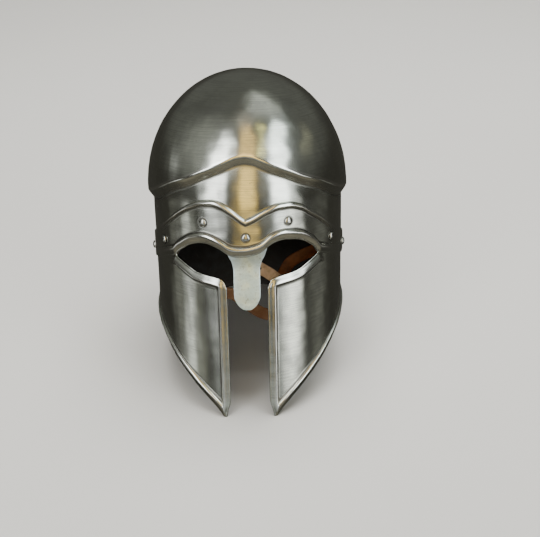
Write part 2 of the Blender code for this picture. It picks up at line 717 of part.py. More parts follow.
def punch_hole(strap, place, end):
    """Cuts a round hole through the strap between two points near its free end."""
    centre = place * HOLE_SHARE + end * (1.0 - HOLE_SHARE)
    axis = np.array(HOLE_AXIS) / np.linalg.norm(HOLE_AXIS)
    side = np.array([1.0, 0.0, 0.0])
    up = np.cross(axis, side)
    verts = []
    for reach in (-2.0 * STRAP_SHEET, 2.0 * STRAP_SHEET):
        for k in range(HOLE_SEGMENTS):
            turn = 2.0 * math.pi * k / HOLE_SEGMENTS
            spoke = (side * math.cos(turn) + up * math.sin(turn)) * HOLE_RADIUS
            verts.append(centre + axis * reach + spoke)
    faces = [tuple(range(HOLE_SEGMENTS)), tuple(range(2 * HOLE_SEGMENTS - 1, HOLE_SEGMENTS - 1, -1))]
    for k in range(HOLE_SEGMENTS):
        after = (k + 1) % HOLE_SEGMENTS
        faces.append((k, k + HOLE_SEGMENTS, after + HOLE_SEGMENTS, after))
    cutter = add_object("strap_hole_cutter", verts, faces, strap.data.materials[0])
    cutter.hide_render = True
    cutter.display_type = "WIRE"
    cut = strap.modifiers.new("hole", "BOOLEAN")
    cut.operation = "DIFFERENCE"
    cut.solver = "EXACT"
    cut.object = cutter


def clear_scene():
    for thing in list(bpy.data.objects):
        bpy.data.objects.remove(thing, do_unlink=True)


def centre_of(pieces):
    """Middle of all the pieces from front to back."""
    low = min(verts[:, 1].min() for _, verts, _, _ in pieces)
    high = max(verts[:, 1].max() for _, verts, _, _ in pieces)
    return (low + high) / 2


def main():
    clear_scene()
    polished = material("polished_steel", (0.56, 0.57, 0.58), 0.28, 1.0)
    plate_steel = material("plate_steel", (0.56, 0.57, 0.58), 0.28, 1.0)
    plain = material("plain_steel", (0.62, 0.64, 0.63), 0.5, 1.0)
    bright = material("rivet_steel", (0.7, 0.7, 0.7), 0.25, 1.0)
    leather = material("brown_leather", (0.30, 0.14, 0.06), 0.6, 0.0)
    tan = material("tan_leather", (0.42, 0.22, 0.1), 0.6, 0.0)
    (right, right_out), (left, left_out) = straps()
    meshes = [("shell", shell_mesh(), polished), ("brow_plate", plate_mesh(), plate_steel),
              ("nasal", nasal_mesh(), plain)]
    meshes += [(name, rivet_mesh(station_angle(place), share), bright) for name, place, share in RIVETS]
    meshes += [("strap_a", strap_mesh(right, right_out), leather),
               ("strap_b", strap_mesh(left, left_out), tan), ("buckle", buckle_mesh(), bright)]
    pieces = [(name, level_rim(lean_back(verts)), faces, made) for name, (verts, faces), made in meshes]
    shift = np.array([0.0, centre_of(pieces), 0.0])
    made_objects = {name: add_object(name, verts - shift, faces, made)
                    for name, verts, faces, made in pieces}
    near_end, end = lean_back(left[-2:]) - shift
    punch_hole(made_objects["strap_b"], near_end, end)


main()
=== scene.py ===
"""Finish of a corinthian helmet in brushed sheet steel, with a riveted brow plate, a nose strip and a
leather chin strap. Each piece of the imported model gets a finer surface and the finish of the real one.
"""

import math

import bmesh
import bpy
import numpy as np
from bpy.props import FloatProperty, FloatVectorProperty, PointerProperty
from mathutils import Matrix, Vector


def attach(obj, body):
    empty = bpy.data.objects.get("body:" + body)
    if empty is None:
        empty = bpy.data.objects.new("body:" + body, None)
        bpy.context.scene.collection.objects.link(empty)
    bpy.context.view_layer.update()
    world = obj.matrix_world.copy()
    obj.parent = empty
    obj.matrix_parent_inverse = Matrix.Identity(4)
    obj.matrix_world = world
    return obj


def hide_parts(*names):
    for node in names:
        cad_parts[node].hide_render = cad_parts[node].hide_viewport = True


bl_info = {
    "name": "Corinthian Helmet",
    "version": (1, 0, 0),
    "blender": (4, 5, 0),
    "location": "3D View > Sidebar > Helmet",
    "description": "Dresses the packed model of a sheet steel corinthian helmet",
    "category": "Object",
}

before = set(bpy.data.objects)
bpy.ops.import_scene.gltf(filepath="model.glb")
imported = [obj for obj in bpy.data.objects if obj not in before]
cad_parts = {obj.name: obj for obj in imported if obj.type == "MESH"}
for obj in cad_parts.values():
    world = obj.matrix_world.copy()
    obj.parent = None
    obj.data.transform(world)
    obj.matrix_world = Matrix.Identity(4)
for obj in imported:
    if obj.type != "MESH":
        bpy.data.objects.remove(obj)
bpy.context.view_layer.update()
BODY = "root"

# Form of the body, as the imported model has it, in metres and degrees
HALF_WIDTH = 0.1026
FRONT_DEPTH = 0.1213
BACK_DEPTH = 0.1303
DOME_HEIGHT = 0.115
DROP = 0.2176
LEAN_DEG = 12.0
CHEVRON_RISE = 0.0507
RIDGE_DIP_BACK = 0.008
STEP_DROP = 0.010
STEP_IN_SIDE = 0.0053
STEP_IN_FRONT = 0.008
STEP_IN_BACK = 0.006
NAPE_IN = 0.017
GUARD_OUT = 0.012
FLARE_START = 0.64
NAPE_START_DEG = 92.0
NAPE_FULL_DEG = 150.0
NAPE_SKEW = 1.4
GAP_EDGE_DEG = 12.1
TIP_DEG = 14.6
TIP_ROUND = 0.020
TIP_REACH_DEG = 21.5
EYE_END_DEG = 46.6
RIM_END_DEG = 51.5
COVER = 0.0026
COVER_FADE_DEG = 40.0
SEAM_DROP = 0.0008
SAME_DEG = 0.01
SLOPE_STEP_DEG = 0.5
STRETCH_LIMIT = 1.8
PLATE_GAP = 0.0004
PLATE_END_DEG = 86.0
PLATE_FADE_DEG = 72.0
RIM_ROOM = 1.3
NASAL_GAP = 0.0004
NASAL_HALF = 0.0132
NASAL_TOP = 0.022
NASAL_TIP = 0.0995
NASAL_FORWARD = 0.0035
NASAL_FREE = 0.30
CENTRE_SHIFT = 0.0286222
WALL_HALF = HALF_WIDTH - STEP_IN_SIDE

# Camera of the photograph: place, then pitch, turn and roll in degrees, then focal length and width of the
# picture in pixels, then width of the sensor in millimetres
CAMERA_AT = (0.026272, -0.852461, 0.605716)
CAMERA_ANGLES = (31.237, 0.315, -1.211)
CAMERA_FOCAL = 915.892
PICTURE_WIDTH = 540.0
SENSOR_WIDTH = 36.0

# Rise of the ridge: angle from the front, share of CHEVRON_RISE
RIDGE = (
    (0.0, 1.000), (4.2, 0.982), (9.0, 0.925), (13.8, 0.852), (19.3, 0.771), (25.0, 0.694),
    (33.0, 0.570), (44.7, 0.420), (53.5, 0.275), (66.0, 0.090), (80.0, 0.010), (90.0, 0.000),
)
# Lower edge over the ground: share of the way from the tip round to the back, share of DROP
LOWER_EDGE = (
    (0.0, 0.000), (0.0224, 0.0235), (0.0611, 0.064), (0.1028, 0.104), (0.1487, 0.143), (0.1898, 0.173),
    (0.2491, 0.212), (0.2842, 0.231), (0.3349, 0.2525), (0.3742, 0.265), (0.4559, 0.280), (0.4982, 0.283),
    (0.5526, 0.230), (0.6252, 0.095), (0.6856, 0.012), (0.7219, 0.000), (1.0, 0.000),
)
# Lower edge of the eye hole: share of the way across it, share of DROP from the ridge
EYE_LOWER = (
    (0.0, -0.363), (0.0232, -0.345), (0.0609, -0.326), (0.1333, -0.317), (0.2232, -0.3125),
    (0.3623, -0.308), (0.5536, -0.299), (0.6696, -0.286), (0.7971, -0.271), (0.8870, -0.261), (1.0, -0.248),
)
# Lower and upper edge of the brow plate: station along it, share of DROP from the ridge. Station 1 is the
# outer corner of the eye hole and 2 the end of the plate.
BROW_LOWER = (
    (0.0, -0.211), (0.1009, -0.209), (0.1652, -0.2045), (0.2103, -0.197), (0.2715, -0.180),
    (0.3240, -0.168), (0.4249, -0.154), (0.4936, -0.150), (0.5622, -0.152), (0.6781, -0.162),
    (0.7554, -0.175), (0.8262, -0.192), (0.9120, -0.215), (1.0, -0.248), (1.1244, -0.262),
    (1.3020, -0.285), (1.6193, -0.312), (1.8477, -0.328), (1.9492, -0.322), (2.0, -0.300),
)
BROW_UPPER = (
    (0.0, -0.050), (0.0622, -0.039), (0.1781, -0.014), (0.2940, 0.007), (0.4120, 0.018), (0.5494, 0.016),
    (0.6931, 0.000), (0.8498, -0.032), (1.0508, -0.080), (1.3020, -0.138), (1.6193, -0.188),
    (1.8477, -0.218), (1.9492, -0.240), (2.0, -0.262),
)
# Hand fitting of the plate: station, negative on the left, shares of DROP added to the upper and lower edge
UNEVEN = (
    (-2.0, 0.000, 0.000), (-1.35, 0.015, 0.000), (-1.0, 0.012, 0.000), (-0.85, 0.015, -0.005),
    (-0.68, 0.013, -0.0066), (-0.54, 0.018, -0.0070), (-0.43, 0.0215, -0.0110), (-0.30, 0.0232, -0.0122),
    (-0.17, 0.0200, -0.006), (0.0, 0.0085, 0.000), (0.17, 0.0042, 0.009), (0.29, 0.0015, 0.012),
    (0.42, 0.002, 0.008), (0.55, 0.0042, 0.003), (0.70, 0.005, 0.004), (0.84, 0.000, 0.004),
    (1.0, 0.000, 0.000), (2.0, 0.000, 0.000),
)
# Rivets: station along the plate, share of DROP
RIVETS = (
    (0.0, -0.124), (0.526, -0.064), (-0.526, -0.064), (1.290, -0.195), (-1.255, -0.193),
    (1.873, -0.283), (-1.873, -0.283),
)
RIVET_NODES = (
    "rivet_centre", "rivet_inner_r", "rivet_inner_l", "rivet_outer_r", "rivet_outer_l",
    "rivet_end_r", "rivet_end_l",
)
# Half width of the nose strip: share of its length, share of NASAL_HALF
NASAL_SIDE = (
    (0.00, 1.20), (0.18, 1.62), (0.30, 1.42), (0.40, 1.12), (0.50, 1.00), (0.70, 0.99), (0.83, 0.97),
    (0.90, 0.82), (0.955, 0.60), (1.00, 0.26),
)
# Routes of the strap: shares of HALF_WIDTH, FRONT_DEPTH and DROP
STRAP_RIGHT = (
    (0.815, -0.370, -0.283), (0.695, -0.430, -0.270), (0.507, -0.470, -0.299),
    (0.406, -0.490, -0.328), (0.344, -0.512, -0.377), (0.330, -0.512, -0.415), (0.330, -0.512, -0.437),
)
STRAP_LEFT = (
    (-0.815, -0.370, -0.370), (-0.690, -0.440, -0.440), (-0.450, -0.470, -0.490),
    (-0.187, -0.495, -0.471), (-0.030, -0.505, -0.520), (0.117, -0.511, -0.566), (0.235, -0.506, -0.578),
    (0.325, -0.500, -0.550), (0.335, -0.509, -0.503), (0.333, -0.546, -0.460), (0.322, -0.583, -0.418),
    (0.285, -0.602, -0.386), (0.215, -0.600, -0.358), (0.131, -0.617, -0.329), (0.040, -0.632, -0.298),
)
BUCKLE_AT = (0.333, -0.546, -0.460)
STRAP_ON_WALL_RIGHT = (-0.278, -0.284)
STRAP_ON_WALL_LEFT = (-0.278, -0.308)
STRAP_START_DEG = 4.0
STRAP_LEAVE_DEG = 6.0
STRAP_GAP = 0.0004
STRAP_FACINGS = (
    (1.0, -0.15, 0.0), (1.0, -0.15, 0.0), (0.77, -0.62, 0.10), (0.35, -0.93, 0.10), (0.05, -0.97, 0.25),
)
HOLE_SHARE = 0.9
HOLE_AXIS = (0.0, -1.0, 0.2)

# Finish of the steel: roughness, how far its strokes stretch a light, the ring of painted shade round a
# rivet, and the heights between which a painted shade darkens the nose strip under the brow plate
STEEL_ROUGH = 0.17
STEEL_PULL = 0.3
SHADE_RING_INNER = 0.0042
SHADE_RING_OUTER = 0.0062
NASAL_SHADE_START = -0.064
NASAL_SHADE_FULL = -0.049

# Room: its tone below and above, the wall behind the floor, the share of its light that falls on the floor,
# the radius of the floor, and the lights: name, place, width, colour
ROOM_TONES = ("#6E6C64", "#AEB0A8")
WALL_TONE = "#C4C3C0"
ROOM_SPILL = 0.25
FLOOR_RADIUS = 6.0
LIGHTS = (
    ("key", (-0.7, -0.9, 2.1), 1.3, "#FFFDF8"),
    ("fill", (0.3, 0.35, 2.3), 1.8, "#FFFFFF"),
)

# Node kinds and settings that the trees use most
MATH = "ShaderNodeMath"
RANGE = "ShaderNodeMapRange"
MIX = "ShaderNodeMix"
NOISE = "ShaderNodeTexNoise"
STRETCH = "ShaderNodeMapping"
BUMP = "ShaderNodeBump"
SOFT = {"interpolation_type": "SMOOTHSTEP"}

# Fine sections: share of the width from the edge, share of the height
RIM_CUT = (
    (0.0, 0.0), (0.04, 0.10), (0.10, 0.17), (0.14, 0.17), (0.22, 0.33), (0.36, 0.60), (0.50, 0.81),
    (0.62, 0.94), (0.70, 1.0), (0.78, 0.98), (0.85, 0.86), (0.90, 0.62), (0.945, 0.24), (0.975, 0.05),
    (1.0, 0.0),
)
BEAD_CUT = (
    (0.0, 0.0), (0.06, 0.16), (0.16, 0.48), (0.27, 0.80), (0.38, 0.96), (0.48, 1.0), (0.58, 0.95),
    (0.68, 0.78), (0.79, 0.46), (0.89, 0.15), (0.96, 0.03), (1.0, 0.0),
)
# Slope under the ridge: share of STEP_DROP, share of the way in
STEP_CUT = (
    (0.05, 0.008), (0.11, 0.035), (0.18, 0.085), (0.30, 0.20), (0.46, 0.39), (0.64, 0.61), (0.80, 0.80),
    (0.90, 0.91), (0.96, 0.965), (1.0, 0.99),
)

# Painted highlight and painted shade: share of the width from the edge, how bright (1) or dark (-1) the steel
# is painted there
RIM_LIGHT_AND_SHADE = (
    (0.0, 0.35), (0.3, 0.1), (0.62, 0.8), (0.72, 1.0), (0.86, 0.5), (0.95, -0.6), (1.0, -1.0),
    (1.12, -0.5), (1.3, 0.0),
)
BEAD_LIGHT_AND_SHADE = (
    (0.0, 0.2), (0.2, 0.4), (0.38, 0.9), (0.5, 1.0), (0.7, 0.2), (0.86, -0.7), (1.0, -1.0),
)
STEP_LIGHT_AND_SHADE = ((0.0, 0.9), (0.11, 0.5), (0.25, 0.0), (0.7, -0.15), (1.0, -0.75))
WALL_SHADE = ((0.0, -0.8), (0.03, -0.35), (0.1, 0.0))
PLATE_EDGE_SHADE = ((0.0, -0.7), (0.12, 0.0), (0.88, 0.0), (1.0, -0.7))
NASAL_EDGE_HIGHLIGHT = ((0.0, 0.0), (0.8, 0.0), (0.93, 0.5), (1.0, 1.0))

# Where on the dome the painted highlight along the ridge starts, and over which share of it it grows
RIDGE_HIGHLIGHT = (0.975, 0.02)

# Rows and columns of the meshes
DOME_ROWS = 40
DOME_FINE = (0.97, 0.982, 0.990, 0.996, 1.0)
WALL_ROWS = 30
WALL_FINE = (0.03, 0.08, 0.12)
PLATE_ROWS = 12
GAP_COLUMNS = 12
TURN_COLUMNS = 7
SIDE_STRETCH = 1.15
PLATE_COLUMNS = ((0.0, 1.0, 62), (1.0, 1.90, 40), (1.90, 2.0, 12))
NASAL_ROWS = ((0.0, 0.9, 46), (0.9, 1.0, 16))
NASAL_COLUMNS = 25
RIVET_SIDES = 40
RIVET_RINGS = 24
WIRE_SIDES = 20
CORNER_STEPS = 8
STRAP_STEPS = 14
STRAP_SIDES = 40
FLOOR_SIDES = 96
HOLE_SIDES = 32
# How full the dome of a rivet head is: 1 for an ellipsoid, less for a fuller one
RIVET_FULL = 0.8
# How square the section of the strap is, across and through it, how uneven its edges are, at how many
# places, and how close to its edge the handled, darker stripe is
STRAP_SQUARE = (0.30, 0.62)
STRAP_BURR = 0.012
BURR_PLACES = 60
STRAP_EDGE = 8
# Shallow dent near the end of the nose strip: depth, place along and across it, reach along and across;
# then the strip's shares of the hammer marks and of the rounding
NASAL_DENT = (0.0004, 0.90, 0.1, 0.05, 0.35)
NASAL_PLANISH = 0.8
NASAL_ROUND = 1.8
# Hammer marks: share of the depth, distance in metres, seed; then how many waves make them up and how much
# the lengths of these vary
MARKS = ((0.65, 0.034, 3), (0.35, 0.013, 5))
WAVES = 9
WAVE_SPREAD = (0.75, 1.5)

# Sizes that a user may change: name, label, what it is, default in metres
SIZES = (
    ("sheet", "Sheet", "Thickness of the body sheet", 0.0016),
    ("plate_sheet", "Plate sheet", "Thickness of the brow plate", 0.0012),
    ("nasal_sheet", "Nose strip", "Thickness of the nose strip", 0.0016),
    ("edge_round", "Edge rounding", "How far the cut edges of the sheets are rounded", 0.00035),
    ("planish", "Planishing", "Depth of the shallow hammer marks left in the sheet", 0.00018),
    ("rim_width", "Rim width", "Width of the raised rims of the cheeks", 0.0087),
    ("rim_height", "Rim height", "Height of the raised rims of the cheeks", 0.0024),
    ("brow_rim_width", "Brow rim width", "Width of the rim over the eyes", 0.0105),
    ("brow_rim_height", "Brow rim height", "Height of the rim over the eyes", 0.0026),
    ("bead_width", "Bead width", "Width of the bead on top of the brow plate", 0.0062),
    ("bead_height", "Bead height", "Height of the bead on top of the brow plate", 0.0022),
    ("rivet_radius", "Rivet radius", "Radius of a rivet head", 0.0041),
    ("rivet_rise", "Rivet rise", "Height of a rivet head", 0.0024),
    ("rivet_gap", "Rivet gap", "How far a rivet head stands off the plate", 0.0001),
    ("strap_width", "Strap width", "Width of the chin strap", 0.0120),
    ("strap_sheet", "Strap leather", "Thickness of the strap leather", 0.0022),
    ("hole_radius", "Hole radius", "Radius of the punched hole", 0.0012),
    ("buckle_half_width", "Buckle half width", "Half width of the buckle frame", 0.0085),
    ("buckle_half_length", "Buckle half length", "Half length of the buckle frame", 0.0098),
    ("buckle_wire", "Buckle wire", "Radius of the buckle wire", 0.0014),
)


class HelmetSizes(bpy.types.PropertyGroup):
    """Sizes of the finish that a user may change."""
    __annotations__ = {
        name: FloatProperty(name=label, description=text, default=size, unit="LENGTH", precision=5)
        for name, label, text, size in SIZES
    }
    column_step: FloatProperty(
        name="Column step", description="Angle between the columns of the body mesh", subtype="ANGLE",
        unit="ROTATION", default=math.radians(1.35), min=math.radians(0.8), max=math.radians(6.0))


def linear(code):
    """Linear colour of an sRGB hex value."""
    parts = [int(code[i:i + 2], 16) / 255.0 for i in (1, 3, 5)]
    return tuple(p / 12.92 if p <= 0.04045 else ((p + 0.055) / 1.055) ** 2.4 for p in parts)


def colour(name, description, code):
    return FloatVectorProperty(
        name=name, description=description, subtype="COLOR", size=3, min=0.0, max=1.0, default=linear(code))


class HelmetColours(bpy.types.PropertyGroup):
    """Colours of the finishes."""
    steel: colour("Steel", "Polished face of the body", "#CED0C6")
    steel_dull: colour("Steel haze", "Hazy patches between the polishing strokes", "#A3A39F")
    # Near white mixed into the crests of rims, bead and ridge: a painted highlight
    steel_highlight: colour("Steel worn", "Raised rims worn bright", "#F2F1ED")
    # Near black inner face: painted shade standing in for the unlit inside of the helmet
    steel_inside_shade: colour("Steel inside", "Scaled inner face of the sheets", "#151312")
    # Dark tone of the pits and of the buckle's patches, also used as painted shade in the creases, under the
    # ridge and round the rivets
    grime_and_shade: colour("Grime", "Dark film in the creases of the steel", "#3A3530")
    nasal: colour("Nose strip", "Matte face of the nose strip", "#DEF4FA")
    rivet: colour("Rivets", "Bright rivet heads", "#B4B4B0")
    leather: colour("Brown leather", "Waxed face of the brown strap", "#83451F")
    # Dark leather: stains, creases and handled edges, and the painted shade at the start of the brown strap
    leather_dark: colour("Dark leather", "Worn and handled leather", "#3C1D0D")
    tan: colour("Tan leather", "Face of the tan strap", "#DDB68C")
    # Tan shade: stains, creases and edges, and the painted shade along the tan strap from the temple
    tan_dark: colour("Tan shade", "Stains and edges of the tan strap", "#6E4527")
    floor: colour("Floor", "Plain pale floor", "#D9D7D2")


class HelmetStage(bpy.types.PropertyGroup):
    """Light of the stage."""
    key_power: FloatProperty(name="Key light", description="Power of the soft light in front, to the left",
                             default=16.0, unit="POWER")
    fill_power: FloatProperty(name="Fill light", description="Power of the soft light overhead",
                              default=85.0, unit="POWER")
    room: FloatProperty(name="Room", description="Brightness of the room around", default=0.32)


class Curve:
    """Smooth curve through the rows of a table, with no overshoot."""

    def __init__(self, rows, column=1):
        self.knots = np.array([row[0] for row in rows], float)
        self.values = np.array([row[column] for row in rows], float)
        self.step = np.diff(self.knots)
        slope = np.diff(self.values) / self.step
        tangent = np.zeros_like(self.values)
        tangent[0] = slope[0]
        tangent[-1] = slope[-1]
        for i in range(1, len(self.values) - 1):
            if slope[i - 1] * slope[i] > 0.0:
                first = 2.0 * self.step[i] + self.step[i - 1]
                second = self.step[i] + 2.0 * self.step[i - 1]
                tangent[i] = (first + second) / (first / slope[i - 1] + second / slope[i])
        self.tangent = tangent

    def __call__(self, at):
        at = np.clip(at, self.knots[0], self.knots[-1])
        i = np.clip(np.searchsorted(self.knots, at, side="right") - 1, 0, len(self.step) - 1)
        u = (at - self.knots[i]) / self.step[i]
        rise = self.values[i] * (1 + 2 * u) * (1 - u) ** 2 + self.values[i + 1] * u * u * (3 - 2 * u)
        bend = self.tangent[i] * u * (1 - u) ** 2 - self.tangent[i + 1] * u * u * (1 - u)
        return rise + self.step[i] * bend


ridge_curve = Curve(RIDGE)
lower_curve = Curve(LOWER_EDGE)
eye_curve = Curve(EYE_LOWER)
brow_lower_curve = Curve(BROW_LOWER)
brow_upper_curve = Curve(BROW_UPPER)
uneven_upper = Curve(UNEVEN, 1)
uneven_lower = Curve(UNEVEN, 2)
nasal_curve = Curve(NASAL_SIDE)
rim_curve = Curve(RIM_CUT)


def painted_light(rows, at):
    """Painted highlight and painted shade of the steel, from a table."""
    return np.interp(at, *zip(*rows))


def runs(rows):
    """Places of a mesh's columns or rows: from, to, count, one run after the other."""
    parts = [np.linspace(*row) for row in rows]
    return np.concatenate(parts[:1] + [part[1:] for part in parts[1:]])


def smooth(low, high, at):
    share = np.clip((np.asarray(at, float) - low) / (high - low), 0.0, 1.0)
    return share * share * (3.0 - 2.0 * share)


def station(angle):
    size = np.abs(angle)
    past = 1.0 + (size - EYE_END_DEG) / (PLATE_END_DEG - EYE_END_DEG)
    return np.where(size <= EYE_END_DEG, size / EYE_END_DEG, past)


def station_angle(place):
    size = np.abs(place)
    past = EYE_END_DEG + (size - 1.0) * (PLATE_END_DEG - EYE_END_DEG)
    return np.sign(place) * np.where(size <= 1.0, size * EYE_END_DEG, past)


def brow_lower(angle):
    place = station(angle)
    return DROP * (brow_lower_curve(place) + uneven_lower(np.sign(angle) * place))


def brow_upper(angle):
    place = station(angle)
    return DROP * (brow_upper_curve(place) + uneven_upper(np.sign(angle) * place))


def ridge_height(angle):
    turn = np.cos(np.radians(angle))
    front = CHEVRON_RISE * ridge_curve(np.abs(angle))
    return np.where(turn >= 0.0, front, -RIDGE_DIP_BACK * turn * turn)


def step_in(angle):
    turn = np.cos(np.radians(angle))
    end = np.where(turn > 0.0, STEP_IN_FRONT, STEP_IN_BACK)
    return STEP_IN_SIDE + (end - STEP_IN_SIDE) * turn * turn


def outward(points):
    """Direction straight out of the body at each point."""
    points = np.asarray(points, float)
    reach = np.where(points[..., 1] < 0.0, FRONT_DEPTH, BACK_DEPTH)
    up = np.maximum(points[..., 2], 0.0) / DOME_HEIGHT ** 2
    normal = np.stack([points[..., 0] / HALF_WIDTH ** 2, points[..., 1] / reach ** 2, up], -1)
    return normal / np.maximum(np.linalg.norm(normal, axis=-1, keepdims=True), 1e-12)


def paired(angle, height):
    return np.broadcast_arrays(np.asarray(angle, float), np.asarray(height, float))


def body_point(angle, height, inset=0.0, swell=0.0):
    """Points of the body at angles and heights, moved in by inset and out by swell."""
    angle, height = paired(angle, height)
    turn = np.radians(angle)
    share = np.clip(np.maximum(height, 0.0) / DOME_HEIGHT, 0.0, 1.0)
    scale = np.sqrt(np.maximum(1.0 - share * share, 0.0))
    reach = np.where(np.cos(turn) >= 0.0, FRONT_DEPTH, BACK_DEPTH)
    x = (HALF_WIDTH * scale - inset) * np.sin(turn)
    y = -(reach * scale - inset) * np.cos(turn)
    flat = np.stack([x, y, np.zeros_like(x)], -1)
    return np.stack([x, y, height], -1) + outward(flat) * np.asarray(swell)[..., None]


def nape_swell(angle, share):
    dent = np.sin(np.pi * share ** NAPE_SKEW) ** 2
    flare = (np.maximum(share - FLARE_START, 0.0) / (1.0 - FLARE_START)) ** 2
    return smooth(NAPE_START_DEG, NAPE_FULL_DEG, np.abs(angle)) * (GUARD_OUT * flare - NAPE_IN * dent)


def edge_height(angle):
    size = np.abs(angle)
    rim = body_point(size, 0.0 * size, step_in(size), nape_swell(size, np.ones_like(size)))
    floor = -DROP + (rim[..., 1] + FRONT_DEPTH - STEP_IN_FRONT) * math.tan(math.radians(LEAN_DEG))
    return floor + DROP * lower_curve((size - TIP_DEG) / (180.0 - TIP_DEG))


def wall_point(angle, height):
    angle, height = paired(angle, height)
    top = ridge_height(angle) - STEP_DROP
    share = np.clip((top - height) / (top - edge_height(angle)), 0.0, 1.0)
    return body_point(angle, height, step_in(angle), nape_swell(angle, share))


def seam_height(angle):
    size = np.abs(angle)
    inner = brow_lower(angle) + COVER * (1.0 - smooth(COVER_FADE_DEG, EYE_END_DEG, size))
    outer = brow_lower(angle) - SEAM_DROP * smooth(EYE_END_DEG, RIM_END_DEG, size)
    return np.where(size <= EYE_END_DEG, inner, outer)


def cheek_top(angle):
    size = np.abs(angle)
    hole = DROP * eye_curve((size - GAP_EDGE_DEG) / (EYE_END_DEG - GAP_EDGE_DEG))
    return np.where(size <= EYE_END_DEG, hole, seam_height(angle))


def tip_shift(angle, height):
    """Turns the front edge of a cheek out to its tip."""
    size = np.abs(angle)
    fall = np.clip(1.0 - (size - GAP_EDGE_DEG) / (TIP_REACH_DEG - GAP_EDGE_DEG), 0.0, 1.0)
    low = edge_height(np.array(TIP_DEG))
    share = 1.0 - smooth(low, low + TIP_ROUND, height)
    return np.sign(angle) * (size + (TIP_DEG - GAP_EDGE_DEG) * share * fall)


def slope_stretch(line_height, angle):
    """Length along the height that covers a unit of distance from a sloping edge."""
    low = np.maximum(np.abs(angle) - SLOPE_STEP_DEG, GAP_EDGE_DEG)
    high = np.abs(angle) + SLOPE_STEP_DEG
    run = np.radians(high - low) * WALL_HALF
    fall = line_height(high) - line_height(low)
    return np.minimum(np.hypot(1.0, fall / run), STRETCH_LIMIT)


def lean_back(points):
    """Stands the upright body on its cheek tips and the rim of its neck guard, in the middle of its box."""
    turn = math.radians(LEAN_DEG)
    out = np.array(points, float)
    y = out[..., 1].copy()
    z = out[..., 2] + DROP - (FRONT_DEPTH - STEP_IN_FRONT) * math.tan(turn)
    out[..., 1] = y * math.cos(turn) + z * math.sin(turn) - CENTRE_SHIFT
    out[..., 2] = z * math.cos(turn) - y * math.sin(turn)
    return out


def waves(points, length, seed):
    """Even, smooth waves from -1 to 1 over a surface, about length apart."""
    chance = np.random.default_rng(seed)
    total = np.zeros(points.shape[:-1])
    for _ in range(WAVES):
        way = chance.normal(size=3)
        way *= 2.0 * math.pi / (length * chance.uniform(*WAVE_SPREAD)) / np.linalg.norm(way)
        total += np.sin(points @ way + chance.uniform(0.0, 2.0 * math.pi))
    return total / math.sqrt(WAVES)


def new_object(name, data):
    thing = bpy.data.objects.new(name, data)
    bpy.context.scene.collection.objects.link(thing)
    return thing


def mark(mesh, name, places, crest):
    """Writes each vertex's flat place to a UV map, in metres, and its crest value to an attribute: painted
    highlight and painted shade on the steel, nearness to the edge on a strap.
    """
    corner = np.zeros(len(mesh.loops), np.int32)
    mesh.loops.foreach_get("vertex_index", corner)
    layer = mesh.uv_layers.new(name=name)
    layer.data.foreach_set("uv", places[corner].reshape(-1).astype(np.float32))
    made = mesh.attributes.new("crest", "FLOAT", "POINT")
    made.data.foreach_set("value", crest.astype(np.float32))


